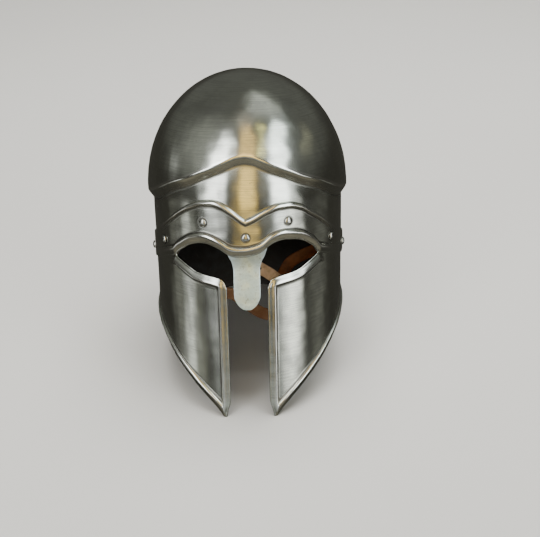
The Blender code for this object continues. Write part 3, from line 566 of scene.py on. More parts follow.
class Sheet:
    """Bent sheet of metal: a face, its back a sheet thickness inside, and rounded cut edges."""

    def __init__(self, thickness):
        self.thickness = thickness
        self.points = []
        self.rises = []
        self.flat = []
        self.crest = []
        self.faces = []
        self.count = 0

    def add(self, points, rise, flat, crest):
        """Adds points of the upright body with their rise, their flat place and their painted highlight and
        shade.
        """
        shape = points.shape[:-1]
        self.points.append(points.reshape(-1, 3))
        self.rises.append(np.broadcast_to(rise, shape).reshape(-1))
        self.flat.append(np.broadcast_to(flat, shape + (2,)).reshape(-1, 2))
        self.crest.append(np.broadcast_to(crest, shape).reshape(-1))
        index = self.count + np.arange(int(np.prod(shape))).reshape(shape)
        self.count += index.size
        return index

    def grid(self, index):
        """Faces between the rows of a grid whose rows run down and columns to the right."""
        a, b, c, d = index[:-1, :-1], index[1:, :-1], index[1:, 1:], index[:-1, 1:]
        self.faces += np.stack([a, b, c, d], -1).reshape(-1, 4).tolist()

    def build(self, name, planish, edge_round):
        """Mesh object with a UV map in metres along the surface and the crest attribute."""
        points = np.concatenate(self.points)
        out = outward(points)
        rises = np.concatenate(self.rises) + planish * sum(
            share * waves(points, length, seed) for share, length, seed in MARKS)
        front = points + out * rises[:, None]
        back = points + out * (np.concatenate(self.rises) - self.thickness)[:, None]
        count = self.count
        faces = list(self.faces)
        faces += [[count + i for i in reversed(face)] for face in self.faces]
        edges = {}
        for face in self.faces:
            for i, first in enumerate(face):
                edges[(first, face[(i + 1) % len(face)])] = True
        cut = [(a, b) for a, b in edges if (b, a) not in edges]
        faces += [[b, a, a + count, b + count] for a, b in cut]
        mesh = bpy.data.meshes.new(name)
        stood = lean_back(np.concatenate([front, back]))
        stood[:, 2] = np.maximum(stood[:, 2], 0.0)
        mesh.from_pydata(stood.tolist(), [], faces)
        mark(mesh, "around", np.tile(np.concatenate(self.flat), (2, 1)),
             np.tile(np.concatenate(self.crest), 2))
        rim = {tuple(sorted(pair)) for pair in cut}
        rim |= {(a + count, b + count) for a, b in rim}
        weight = mesh.attributes.new("bevel_weight_edge", "FLOAT", "EDGE")
        pairs = np.zeros(len(mesh.edges) * 2, np.int32)
        mesh.edges.foreach_get("vertices", pairs)
        weight.data.foreach_set("value", [1.0 if tuple(sorted(p)) in rim else 0.0
                                          for p in pairs.reshape(-1, 2).tolist()])
        inner = np.zeros(len(mesh.polygons), np.int32)
        inner[len(self.faces):2 * len(self.faces)] = 1
        mesh.polygons.foreach_set("material_index", inner)
        mesh.polygons.foreach_set("use_smooth", [True] * len(mesh.polygons))
        thing = new_object(name, mesh)
        bevel = thing.modifiers.new("rounded edges", "BEVEL")
        bevel.limit_method = "WEIGHT"
        bevel.width = edge_round
        bevel.segments = 2
        bevel.use_clamp_overlap = True
        return settle(thing)


def settle(thing):
    """Turns an object with modifiers into a plain mesh with sound normals."""
    bpy.context.view_layer.update()
    ready = thing.evaluated_get(bpy.context.evaluated_depsgraph_get())
    mesh = bpy.data.meshes.new_from_object(ready)
    old = thing.data
    thing.modifiers.clear()
    thing.data = mesh
    mesh.name = thing.name
    if isinstance(old, bpy.types.Mesh):
        bpy.data.meshes.remove(old)
    return thing


def finish_piece(thing, slot, materials, *nodes):
    """Gives a piece its materials and puts it in the place of CAD nodes."""
    mesh = thing.data
    index = np.zeros(len(mesh.polygons), np.int32)
    mesh.polygons.foreach_get("material_index", index)
    mesh.materials.clear()
    for made in materials:
        mesh.materials.append(made)
    mesh.polygons.foreach_set("material_index", index)
    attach(thing, BODY)
    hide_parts(*nodes)
    return thing


def flat_place(angle, height):
    """Place on the rolled-out wall, in metres: round the body and up."""
    angle, height = paired(angle, height)
    return np.stack([np.radians(angle) * HALF_WIDTH, height], -1)


def rim_column(share, width):
    return GAP_EDGE_DEG + np.degrees(np.asarray(share) * width / WALL_HALF)


def body_columns(sizes):
    """Angles of the columns of the right half, from the middle of the face to the back."""
    step = math.degrees(sizes.column_step)
    rim = [row[0] for row in RIM_CUT]
    front = np.linspace(0.0, GAP_EDGE_DEG, GAP_COLUMNS)[:-1]
    edge = rim_column(rim, sizes.rim_width)
    eye = np.linspace(edge[-1], EYE_END_DEG, int((EYE_END_DEG - edge[-1]) / step) + 2)[1:]
    turn = np.linspace(EYE_END_DEG, RIM_END_DEG, TURN_COLUMNS)[1:]
    side = np.linspace(RIM_END_DEG, 180.0, int((180.0 - RIM_END_DEG) / (step * SIDE_STRETCH)) + 2)[1:-1]
    return np.concatenate([front, edge, eye, turn, side])


def shell_piece(sizes):
    """The body: dome, step, wall, neck guard and the cheeks with their raised rims."""
    sheet = Sheet(sizes.sheet)
    half = body_columns(sizes)
    columns = np.concatenate([-half[:0:-1], half, [180.0]])
    ridge = ridge_height(columns)
    low = np.arcsin(ridge / DOME_HEIGHT)
    shares = np.append(np.linspace(0.0, DOME_FINE[0], DOME_ROWS)[1:], DOME_FINE[1:])[:, None]
    lift = math.pi / 2 + (low - math.pi / 2) * shares
    dome_heights = DOME_HEIGHT * np.sin(lift)
    dome_flat = np.stack(np.broadcast_arrays(
        np.radians(columns) * HALF_WIDTH * np.cos(lift), ridge + (lift - low) * DOME_HEIGHT), -1)
    pole = sheet.add(np.array([[0.0, 0.0, DOME_HEIGHT]]), 0.0, np.array([0.0, DOME_HEIGHT * 1.5]), 0.0)
    # Painted highlight on the dome along the ridge
    crest = np.clip((shares - RIDGE_HIGHLIGHT[0]) / RIDGE_HIGHLIGHT[1], 0.0, 1.0)
    dome = sheet.add(body_point(columns, dome_heights), 0.0, dome_flat, crest)
    cut = np.array(STEP_CUT)
    step_heights = ridge - STEP_DROP * cut[:, :1]
    # Slope under the ridge: painted highlight at its top edge, painted shade lower down
    step = sheet.add(body_point(columns, step_heights, step_in(columns) * cut[:, 1:]), 0.0,
                     flat_place(columns, step_heights), painted_light(STEP_LIGHT_AND_SHADE, cut[:, :1]))
    top = ridge - STEP_DROP
    down = np.append(WALL_FINE[:-1], np.linspace(WALL_FINE[-1], 1.0, WALL_ROWS))[:, None]
    wall_heights = top + (seam_height(columns) - top) * down
    # Painted shade on the top of the wall, under the ridge
    wall = sheet.add(wall_point(columns, wall_heights), 0.0, flat_place(columns, wall_heights),
                     painted_light(WALL_SHADE, down) + 0.0 * columns)
    grid = np.concatenate([dome, step, wall])
    sheet.grid(np.concatenate([grid, grid[:, :1]], 1))
    ring = np.append(dome[0], dome[0][0])
    sheet.faces += [[int(pole[0]), int(a), int(b)] for a, b in zip(ring, ring[1:])]
    right = [i for i, angle in enumerate(columns) if angle > GAP_EDGE_DEG - SAME_DEG]
    left = [i for i, angle in enumerate(columns) if angle < -GAP_EDGE_DEG + SAME_DEG]
    order = np.array(right + left)
    cheek = cheek_grid(sheet, sizes, columns[order], wall[-1][order])
    sheet.grid(cheek)
    return sheet.build("helmet_body", sizes.planish, sizes.edge_round)


def cheek_grid(sheet, sizes, angle, seam):
    """Rows of the cheeks and the lower wall, from the eye hole or the seam to the lower edge."""
    size = np.abs(angle)
    top = cheek_top(angle)
    tip = np.maximum(size, TIP_DEG)
    low = edge_height(tip)
    high_width = sizes.rim_width * np.where(size <= EYE_END_DEG, slope_stretch(cheek_top, size), 1.0)
    low_width = sizes.rim_width * slope_stretch(edge_height, tip)
    cut = np.array([row[0] for row in RIM_CUT])[:, None]
    rows = [top - high_width * cut]
    start = top - high_width
    end = low + low_width
    rows.append(start + (end - start) * np.linspace(0.0, 1.0, WALL_ROWS)[1:-1, None])
    rows.append(low + low_width * cut[::-1])
    heights = np.concatenate(rows)
    side = (size - GAP_EDGE_DEG) / (rim_column(1.0, sizes.rim_width) - GAP_EDGE_DEG)
    above = (top - heights) / high_width
    below = (heights - low) / low_width
    near = np.minimum(np.minimum(side, above), below)
    fade = np.where(near == above, 1.0 - smooth(EYE_END_DEG, RIM_END_DEG, size), 1.0)
    share = rim_curve(near) * fade
    joined = size >= EYE_END_DEG - SAME_DEG
    share[0] = np.where(joined, 0.0, share[0])
    turned = tip_shift(angle, heights)
    # Painted highlight along the crests of the rims, painted shade along their outer steps
    index = sheet.add(wall_point(turned, heights), sizes.rim_height * share,
                      flat_place(turned, heights), painted_light(RIM_LIGHT_AND_SHADE, near) * fade)
    index[0] = np.where(joined, seam, index[0])
    return index


def plate_piece(sizes):
    """The brow plate: bead along the top, wide raised rim over the eyes."""
    sheet = Sheet(sizes.plate_sheet)
    half = runs(PLATE_COLUMNS)
    places = np.concatenate([-half[:0:-1], half])
    angle = station_angle(places)
    low = brow_lower(angle)
    high = brow_upper(angle)
    tight = np.minimum((high - low) / (RIM_ROOM * (sizes.brow_rim_width + sizes.bead_width)), 1.0)
    fade = 1.0 - smooth(EYE_END_DEG, PLATE_FADE_DEG, np.abs(angle))
    bead = np.array(BEAD_CUT)
    rim = np.array(RIM_CUT)[::-1]
    upper = high - sizes.bead_width * tight
    lower = low + sizes.brow_rim_width * tight
    middle = np.linspace(0.0, 1.0, PLATE_ROWS)[1:-1, None]
    heights = np.concatenate([high - sizes.bead_width * bead[:, :1] * tight,
                              upper + (lower - upper) * middle,
                              low + sizes.brow_rim_width * rim[:, :1] * tight])
    rises = np.concatenate([sizes.bead_height * bead[:, 1:] * fade, 0.0 * middle * fade,
                            sizes.brow_rim_height * rim[:, 1:] * fade])
    # Painted highlight on the crests of bead and rim, painted shade under them and along the plate's edges
    # beside them
    crest = fade * np.concatenate([
        painted_light(BEAD_LIGHT_AND_SHADE, bead[:, :1]), painted_light(PLATE_EDGE_SHADE, middle), painted_light(RIM_LIGHT_AND_SHADE, rim[:, :1])])
    base = PLATE_GAP + sizes.plate_sheet
    sheet.grid(sheet.add(wall_point(angle, heights), base + rises, flat_place(angle, heights), crest))
    return sheet.build("brow_band", sizes.planish, sizes.edge_round)


def nasal_piece(sizes):
    """The nose strip below the middle of the brow plate."""
    sheet = Sheet(sizes.nasal_sheet)
    share = runs(NASAL_ROWS)[:, None]
    across = np.linspace(-1.0, 1.0, NASAL_COLUMNS)
    height = -NASAL_TOP - (NASAL_TIP - NASAL_TOP) * share
    half = NASAL_HALF * nasal_curve(share)
    angle = np.degrees(np.arcsin(across * half / WALL_HALF))
    forward = NASAL_FORWARD * smooth(NASAL_FREE, 1.0, share)
    depth, along, aside, long, wide = NASAL_DENT
    dent = depth * np.exp(-((share - along) / long) ** 2 - ((across - aside) / wide) ** 2)
    points = wall_point(angle, height)
    rise = forward - sizes.sheet - NASAL_GAP - dent
    # Painted highlight towards the edges of the strip
    crest = painted_light(NASAL_EDGE_HIGHLIGHT, np.abs(across)) + 0.0 * share
    sheet.grid(sheet.add(points, rise, flat_place(angle, height), crest))
    return sheet.build("nose_strip", NASAL_PLANISH * sizes.planish, NASAL_ROUND * sizes.edge_round)


def stand(thing):
    """Leans the mesh of a piece back with the body."""
    co = np.zeros(len(thing.data.vertices) * 3, np.float32)
    thing.data.vertices.foreach_get("co", co)
    thing.data.vertices.foreach_set("co", lean_back(co.reshape(-1, 3)).reshape(-1).astype(np.float32))
    thing.data.update()
    return thing


def put(tree, kind, inputs=None, **settings):
    """Adds a node with its settings. Inputs name a socket, or give its place, and take a value, a socket, or
    a node, which gives its first output in use.
    """
    made = tree.nodes.new(kind)
    for name, value in settings.items():
        setattr(made, name, value)
    for place, value in (inputs or {}).items():
        if isinstance(value, bpy.types.Node):
            value = next(out for out in value.outputs if out.enabled)
        if isinstance(value, bpy.types.NodeSocket):
            tree.links.new(value, made.inputs[place])
        else:
            made.inputs[place].default_value = value
    return made


def new_tree(name, sockets):
    """Geometry node tree with named inputs after its geometry."""
    tree = bpy.data.node_groups.new(name, "GeometryNodeTree")
    tree.is_modifier = True
    tree.interface.new_socket("Geometry", in_out="INPUT", socket_type="NodeSocketGeometry")
    for label, kind, text in sockets:
        made = tree.interface.new_socket(label, in_out="INPUT", socket_type="NodeSocket" + kind)
        made.description = text
    tree.interface.new_socket("Geometry", in_out="OUTPUT", socket_type="NodeSocketGeometry")
    return tree, put(tree, "NodeGroupInput").outputs


def end_tree(tree, geometry, finish):
    """Ends a tree in real geometry with its material."""
    real = put(tree, "GeometryNodeRealizeInstances", {"Geometry": geometry})
    done = put(tree, "GeometryNodeSetMaterial", {"Geometry": real, "Material": finish})
    put(tree, "NodeGroupOutput", {"Geometry": done})
    return tree


def grow(thing, tree, values):
    """Runs a geometry node tree on an object once and keeps the plain mesh."""
    modifier = thing.modifiers.new(tree.name, "NODES")
    modifier.node_group = tree
    names = {item.name: item.identifier for item in tree.interface.items_tree if item.in_out == "INPUT"}
    for label, value in values.items():
        modifier[names[label]] = value
    return settle(thing)


def seed_object(name, points, vectors=None):
    """Object of loose points that a node tree grows a piece on."""
    mesh = bpy.data.meshes.new(name)
    mesh.from_pydata([tuple(p) for p in points], [], [])
    if vectors is not None:
        layer = mesh.attributes.new("way", "FLOAT_VECTOR", "POINT")
        layer.data.foreach_set("vector", np.asarray(vectors, np.float32).reshape(-1))
    return new_object(name, mesh)


def rivet_tree():
    """Domed heads with a flat back, one on each point, turned to the point's way attribute."""
    tree, entry = new_tree("domed rivet heads", (
        ("Radius", "Float", "Radius of a head"),
        ("Rise", "Float", "Height of a head"),
        ("Fullness", "Float", "Lower than 1 for a fuller dome"),
        ("Segments", "Int", "Faces round a head"),
        ("Material", "Material", "Finish of the heads"),
    ))
    ball = put(tree, "GeometryNodeMeshUVSphere", {
        "Segments": entry["Segments"], "Rings": RIVET_RINGS, "Radius": 1.0})
    spot = put(tree, "ShaderNodeSeparateXYZ", {0: put(tree, "GeometryNodeInputPosition")}).outputs
    above = put(tree, MATH, {0: spot["Z"], 1: 0.0}, operation="MAXIMUM")
    full = put(tree, MATH, {0: above, 1: entry["Fullness"]}, operation="POWER")
    parts = (spot["X"], "Radius"), (spot["Y"], "Radius"), (full, "Rise")
    place = put(tree, "ShaderNodeCombineXYZ", {
        axis: put(tree, MATH, {0: value, 1: entry[size]}, operation="MULTIPLY")
        for axis, (value, size) in enumerate(parts)})
    head = put(tree, "GeometryNodeSetPosition", {"Geometry": ball, "Position": place})
    way = put(tree, "GeometryNodeInputNamedAttribute", {"Name": "way"}, data_type="FLOAT_VECTOR")
    turn = put(tree, "FunctionNodeAlignRotationToVector", {"Vector": way}, axis="Z")
    dots = put(tree, "GeometryNodeMeshToPoints", {"Mesh": entry["Geometry"]})
    heads = put(tree, "GeometryNodeInstanceOnPoints", {"Points": dots, "Instance": head, "Rotation": turn})
    return end_tree(tree, heads, entry["Material"])


def rivet_piece(sizes, finish):
    angles = station_angle(np.array([row[0] for row in RIVETS]))
    base = wall_point(angles, DROP * np.array([row[1] for row in RIVETS]))
    out = outward(base)
    spots = base + out * (PLATE_GAP + sizes.plate_sheet + sizes.rivet_gap)
    thing = seed_object("rivet_heads", spots, out)
    grow(thing, rivet_tree(), {
        "Radius": sizes.rivet_radius, "Rise": sizes.rivet_rise, "Fullness": RIVET_FULL,
        "Segments": RIVET_SIDES, "Material": finish})
    soften(thing)
    return stand(thing)


def soften(thing):
    thing.data.polygons.foreach_set("use_smooth", [True] * len(thing.data.polygons))


def buckle_tree():
    """Closed frame of round wire with rounded corners."""
    tree, entry = new_tree("wire buckle frame", (
        ("Width", "Float", "Width between the middles of the wires"),
        ("Length", "Float", "Length between the middles of the wires"),
        ("Corner", "Float", "Radius of the corners"),
        ("Wire", "Float", "Radius of the wire"),
        ("Place", "Vector", "Middle of the frame"),
        ("Material", "Material", "Finish of the wire"),
    ))
    line = put(tree, "GeometryNodeCurvePrimitiveQuadrilateral", {
        "Width": entry["Width"], "Height": entry["Length"]}, mode="RECTANGLE")
    bend = put(tree, "GeometryNodeFilletCurve", {
        "Curve": line, "Radius": entry["Corner"], "Count": CORNER_STEPS}, mode="POLY")
    wire = put(tree, "GeometryNodeCurvePrimitiveCircle", {
        "Resolution": WIRE_SIDES, "Radius": entry["Wire"]})
    tube = put(tree, "GeometryNodeCurveToMesh", {"Curve": bend, "Profile Curve": wire})
    up = put(tree, "GeometryNodeTransform", {
        "Geometry": tube, "Rotation": (math.pi / 2, 0.0, 0.0), "Translation": entry["Place"]})
    return end_tree(tree, up, entry["Material"])


def strap_path(rows):
    return [np.array([x * HALF_WIDTH, y * FRONT_DEPTH, z * DROP]) for x, y, z in rows]


def buckle_piece(sizes, finish):
    place = strap_path([BUCKLE_AT])[0]
    thing = seed_object("buckle_frame", [place])
    grow(thing, buckle_tree(), {
        "Width": 2.0 * sizes.buckle_half_width, "Length": 2.0 * sizes.buckle_half_length,
        "Corner": 2.0 * sizes.buckle_wire, "Wire": sizes.buckle_wire, "Place": tuple(place),
        "Material": finish})
    soften(thing)
    return stand(thing)


def strap_anchor(angle, share, sizes):
    base = wall_point(np.array(float(angle)), np.array(DROP * share))
    return base - outward(base) * (sizes.sheet + STRAP_GAP + sizes.strap_sheet / 2)


def strap_routes(sizes):
    """Points and facings of the right and the left half of the strap."""
    end = float(station_angle(np.array(RIVETS[-2][0])))
    start = end + STRAP_START_DEG
    leave = end - STRAP_LEAVE_DEG
    turned = [np.array(facing) for facing in STRAP_FACINGS]
    mirrored = [facing * (-1.0, 1.0, 1.0) for facing in turned]
    right = [strap_anchor(angle, share, sizes) for angle, share in zip((start, leave), STRAP_ON_WALL_RIGHT)]
    left = [strap_anchor(-angle, share, sizes) for angle, share in zip((start, leave), STRAP_ON_WALL_LEFT)]
    right += strap_path(STRAP_RIGHT)
    left += strap_path(STRAP_LEFT)
    right_out = turned[:-1] + [turned[-1]] * (len(right) - len(turned) + 1)
    left_out = mirrored[:-1] + [turned[-1]] * (len(left) - len(turned) + 1)
    return (right, right_out), (left, left_out)


def strap_piece(name, points, facings, sizes, seed):
    """Flat leather strap with rounded, slightly burred edges along a smooth route."""
    centres = []
    outs = []
    last = len(points) - 1
    for i in range(last):
        a, b, c, d = points[max(i - 1, 0)], points[i], points[i + 1], points[min(i + 2, last)]
        for k in range(STRAP_STEPS + (1 if i == last - 1 else 0)):
            u = k / STRAP_STEPS
            centres.append(0.5 * (2 * b + (c - a) * u + (2 * a - 5 * b + 4 * c - d) * u * u
                                  + (3 * b - a - 3 * c + d) * u ** 3))
            mix = float(smooth(0.0, 1.0, u))
            outs.append(facings[i] * (1 - mix) + facings[i + 1] * mix)
    centres = np.array(centres)
    ahead = np.gradient(centres, axis=0)
    ahead /= np.linalg.norm(ahead, axis=1, keepdims=True)
    across = np.cross(ahead, np.array(outs))
    across /= np.linalg.norm(across, axis=1, keepdims=True)
    thick = np.cross(across, ahead)
    length = np.concatenate([[0.0], np.cumsum(np.linalg.norm(np.diff(centres, axis=0), axis=1))])
    turn = np.linspace(0.0, 2.0 * math.pi, STRAP_SIDES + 1)[:-1]
    wide = np.sign(np.cos(turn)) * np.abs(np.cos(turn)) ** STRAP_SQUARE[0]
    tall = np.sign(np.sin(turn)) * np.abs(np.sin(turn)) ** STRAP_SQUARE[1]
    chance = np.random.default_rng(seed)
    spots = np.linspace(0.0, length[-1], BURR_PLACES)
    burr = 1.0 + STRAP_BURR * np.interp(length, spots, chance.normal(size=BURR_PLACES))
    rows = (centres[:, None] + across[:, None] * (wide * sizes.strap_width / 2)[None, :, None]
            * burr[:, None, None] + thick[:, None] * (tall * sizes.strap_sheet / 2)[None, :, None])
    count, sides = rows.shape[:2]
    verts = rows.reshape(-1, 3).tolist() + [centres[0].tolist(), centres[-1].tolist()]
    index = np.arange(count * sides).reshape(count, sides)
    nxt = np.roll(index, -1, axis=1)
    faces = np.stack([index[:-1], index[1:], nxt[1:], nxt[:-1]], -1).reshape(-1, 4).tolist()
    faces += [[len(verts) - 2, int(a), int(b)] for a, b in zip(index[0], nxt[0])]
    faces += [[len(verts) - 1, int(b), int(a)] for a, b in zip(index[-1], nxt[-1])]
    mesh = bpy.data.meshes.new(name)
    mesh.from_pydata(verts, [], faces)
    along = np.append(np.repeat(length, sides), [length[0], length[-1]])
    over = np.append(np.tile(wide * sizes.strap_width / 2, count), [0.0, 0.0])
    edge = np.append(np.tile(np.abs(wide) ** STRAP_EDGE, count), [1.0, 1.0])
    mark(mesh, "along", np.stack([along, over], -1), edge)
    work = bmesh.new()
    work.from_mesh(mesh)
    bmesh.ops.recalc_face_normals(work, faces=work.faces[:])
    work.to_mesh(mesh)
    work.free()
    thing = new_object(name, mesh)
    soften(thing)
    return thing


def punch(strap, place, end, sizes):
    """Punches a round hole through the strap near its free end."""
    centre = place * HOLE_SHARE + end * (1.0 - HOLE_SHARE)
    axis = Vector(HOLE_AXIS).normalized()
    mesh = bpy.data.meshes.new("punch")
    work = bmesh.new()
    turn = axis.to_track_quat("Z", "Y").to_matrix().to_4x4()
    bmesh.ops.create_cone(work, cap_ends=True, segments=HOLE_SIDES, radius1=sizes.hole_radius,
                          radius2=sizes.hole_radius, depth=4.0 * sizes.strap_sheet,
                          matrix=Matrix.Translation(Vector(centre)) @ turn)
    work.to_mesh(mesh)
    work.free()
    tool = new_object("punch", mesh)
    cut = strap.modifiers.new("hole", "BOOLEAN")
    cut.operation = "DIFFERENCE"
    cut.solver = "EXACT"
    cut.object = tool
    settle(strap)
    bpy.data.objects.remove(tool)
    soften(strap)
    return strap


def colour4(value):
    return (*tuple(value)[:3], 1.0)


def blank_material(name):
    """New material with its tree, its shader and the places that its patterns are laid out on."""
    made = bpy.data.materials.new(name)
    made.use_nodes = True
    tree = made.node_tree
    place = put(tree, "ShaderNodeTexCoord").outputs["Object"]
    crest = put(tree, "ShaderNodeAttribute", attribute_name="crest").outputs["Fac"]
    return made, tree, tree.nodes["Principled BSDF"], place, crest


def dress(tree, shader, tone, gloss, normal):
    """Links colour, roughness and bump to a shader."""
    for value, name in ((tone, "Base Color"), (gloss, "Roughness"), (normal, "Normal")):
        tree.links.new(next(out for out in value.outputs if out.enabled), shader.inputs[name])


def brushed_steel(name, colours, spots=()):
    """Mild steel sheet polished with a flap wheel round the body: fine level strokes stretch each light
    into a tall soft streak, hazy patches are left between the passes, the crests of rims, bead and ridge are
    brightened as painted highlight, and painted shade darkens the creases and rings what is riveted on.
    """
    made, tree, shader, place, crest = blank_material(name)
    # Place along the sheet in metres, so the strokes follow the form; strokes 0.5 and 1 mm wide stand for
    # the real ones of 0.1 mm, which are too fine to show
    around = put(tree, "ShaderNodeUVMap", uv_map="around")
    broad, narrow, level = [
        put(tree, STRETCH, {"Vector": around, "Scale": (1 / long, 1 / high, 1.0)})
        for long, high in ((0.050, 0.0011), (0.014, 0.0005), (0.060, 0.022))]
    strokes, fine, cloud, haze, specks = [
        put(tree, NOISE, {"Vector": lay, "Scale": scale, "Detail": detail, "Roughness": rough})
        for lay, scale, detail, rough in (
            (broad, 1.0, 3.0, 0.65), (narrow, 1.0, 2.0, 0.5), (level, 1.0, 3.0, 0.5),
            (place, 1 / 0.030, 4.0, 0.62), (place, 1 / 0.0022, 2.0, 0.6))]
    # Masks: crests brightened as painted highlight, creases darkened as painted shade, haze, strokes and pits
    worn, crease, patch, drawn, pits = [
        put(tree, RANGE, {"Value": value, "From Min": low, "From Max": high, "To Max": most}, **SOFT)
        for value, low, high, most in (
            (crest, 0.25, 1.0, 1.0), (crest, -0.15, -0.95, 1.0), (haze, 0.40, 0.68, 0.5),
            (strokes, 0.38, 0.66, 0.4), (specks, 0.68, 0.78, 0.4))]
    # A ring of painted shade round each rivet head
    for u, v in spots:
        away = put(tree, "ShaderNodeVectorMath", {0: around, 1: (u, v, 0.0)}, operation="DISTANCE")
        ring = put(tree, RANGE, {
            "Value": away.outputs["Value"], "From Min": SHADE_RING_OUTER, "From Max": SHADE_RING_INNER}, **SOFT)
        crease = put(tree, MATH, {0: crease, 1: ring}, operation="MAXIMUM")
    held = put(tree, RANGE, {
        "Value": haze, "From Min": 0.25, "From Max": 0.6, "To Min": 0.6, "To Max": 0.95}, **SOFT)
    # Painted shade in the creases, made uneven by the haze
    shading = put(tree, MATH, {0: crease, 1: held}, operation="MULTIPLY")
    # Painted highlight on the crests
    bright = put(tree, MATH, {0: worn, 1: 0.7}, operation="MULTIPLY")
    tone = colour4(colours.steel)
    for share, other in ((patch, colours.steel_dull), (drawn, colours.steel_dull), (pits, colours.grime_and_shade),
                         (shading, colours.grime_and_shade), (bright, colours.steel_highlight)):
        tone = put(tree, MIX, {0: share, 6: tone, 7: colour4(other)}, data_type="RGBA")
    gloss = put(tree, RANGE, {"Value": cloud, "To Min": STEEL_ROUGH - 0.07, "To Max": STEEL_ROUGH + 0.09})
    for share, amount in ((patch, 0.08), (drawn, 0.05), (crease, 0.25), (worn, -0.05)):
        gloss = put(tree, MATH, {0: share, 1: amount, 2: gloss}, operation="MULTIPLY_ADD")
    run = put(tree, "ShaderNodeTangent", direction_type="UV_MAP", uv_map="around")
    tree.links.new(run.outputs["Tangent"], shader.inputs["Tangent"])
    lines = put(tree, MATH, {0: fine, 1: 0.4, 2: strokes}, operation="MULTIPLY_ADD")
    grain = put(tree, BUMP, {"Strength": 0.3, "Distance": 0.00006, "Height": lines})
    sunk = put(tree, MATH, {0: pits, 1: -1.0}, operation="MULTIPLY")
    pitted = put(tree, BUMP, {"Strength": 0.25, "Distance": 0.0001, "Height": sunk, "Normal": grain})
    shader.inputs["Metallic"].default_value = 1.0
    shader.inputs["Anisotropic"].default_value = STEEL_PULL
    shader.inputs["Anisotropic Rotation"].default_value = 0.25
    dress(tree, shader, tone, gloss, pitted)
    return made


def inside_shade_steel(colours):
    """Inside of the sheets: near black as painted shade for the unlit inside of the helmet, mottled, rough
    and hardly shining.
    """
    made, tree, shader, place, _ = blank_material("inside_shade_steel")
    scale, worn = [
        put(tree, NOISE, {"Vector": place, "Scale": 1 / size, "Detail": detail, "Roughness": 0.6})
        for size, detail in ((0.012, 5.0), (0.0025, 3.0))]
    thick = put(tree, RANGE, {"Value": scale, "From Min": 0.35, "From Max": 0.7}, **SOFT)
    rubbed = put(tree, RANGE, {"Value": worn, "From Min": 0.62, "From Max": 0.72, "To Max": 0.4}, **SOFT)
    tone = colour4(colours.steel_inside_shade)
    for share, code in ((thick, "#211C19"), (rubbed, "#4A4642")):
        tone = put(tree, MIX, {0: share, 6: tone, 7: colour4(linear(code))}, data_type="RGBA")
    gloss = put(tree, RANGE, {
        "Value": scale, "From Min": 0.3, "From Max": 0.7, "To Min": 0.65, "To Max": 0.88}, **SOFT)
    dress(tree, shader, tone, gloss, put(tree, BUMP, {"Strength": 0.3, "Distance": 0.0003, "Height": scale}))
    return made


def matte_steel(colours):
    """Nose strip: plain strip steel rubbed with coarse cloth, so it is pale, even and speckled, with a
    painted highlight on its edges and a painted shade where the brow plate overhangs it.
    """
    made, tree, shader, place, crest = blank_material("matte_strip_steel")
    around = put(tree, "ShaderNodeUVMap", uv_map="around")
    lay = put(tree, STRETCH, {"Vector": around, "Scale": (1 / 0.0006, 1 / 0.010, 1.0)})
    speck, patch, rubbed = [
        put(tree, NOISE, {"Vector": where, "Scale": scale, "Detail": detail, "Roughness": rough})
        for where, scale, detail, rough in (
            (place, 1 / 0.0024, 4.0, 0.7), (place, 1 / 0.011, 3.0, 0.6), (lay, 1.0, 2.0, 0.5))]
    height = put(tree, "ShaderNodeSeparateXYZ", {0: around}).outputs["Y"]
    tone = colour4(colours.nasal)
    # Specks, hazy patches, painted highlights on the edges and the painted shade under the brow plate
    for value, low, high, most, code in (
            (speck, 0.50, 0.70, 0.8, "#A4B2B4"), (patch, 0.42, 0.62, 0.6, "#C2D6D8"),
            (crest, 0.3, 1.0, 0.35, "#F0F2F2"), (height, NASAL_SHADE_START, NASAL_SHADE_FULL, 0.5, "#5B5E5F")):
        share = put(tree, RANGE, {"Value": value, "From Min": low, "From Max": high, "To Max": most}, **SOFT)
        tone = put(tree, MIX, {0: share, 6: tone, 7: colour4(linear(code))}, data_type="RGBA")
    gloss = put(tree, RANGE, {
        "Value": patch, "From Min": 0.3, "From Max": 0.7, "To Min": 0.40, "To Max": 0.54}, **SOFT)
    lines = put(tree, MATH, {0: rubbed, 1: 0.7, 2: speck}, operation="MULTIPLY_ADD")
    grain = put(tree, BUMP, {"Strength": 0.35, "Distance": 0.00007, "Height": lines})
    shader.inputs["Metallic"].default_value = 1.0
    dress(tree, shader, tone, gloss, grain)
    return made


def turned_steel(name, base, dark, rough):
    """Rivet heads and buckle wire: hammered and polished round, darker where the cloth didn't reach."""
    made, tree, shader, place, _ = blank_material(name)
    patch = put(tree, NOISE, {"Vector": place, "Scale": 1 / 0.0035, "Detail": 3.0, "Roughness": 0.6})
    share = put(tree, RANGE, {"Value": patch, "From Min": 0.40, "From Max": 0.72}, **SOFT)
    tone = put(tree, MIX, {0: share, 6: colour4(base), 7: colour4(dark)}, data_type="RGBA")
    gloss = put(tree, RANGE, {
        "Value": patch, "From Min": 0.3, "From Max": 0.7, "To Min": rough, "To Max": rough + 0.12}, **SOFT)
    shader.inputs["Metallic"].default_value = 1.0
    dress(tree, shader, tone, gloss, put(tree, BUMP, {"Strength": 0.25, "Distance": 0.0004, "Height": patch}))
    return made


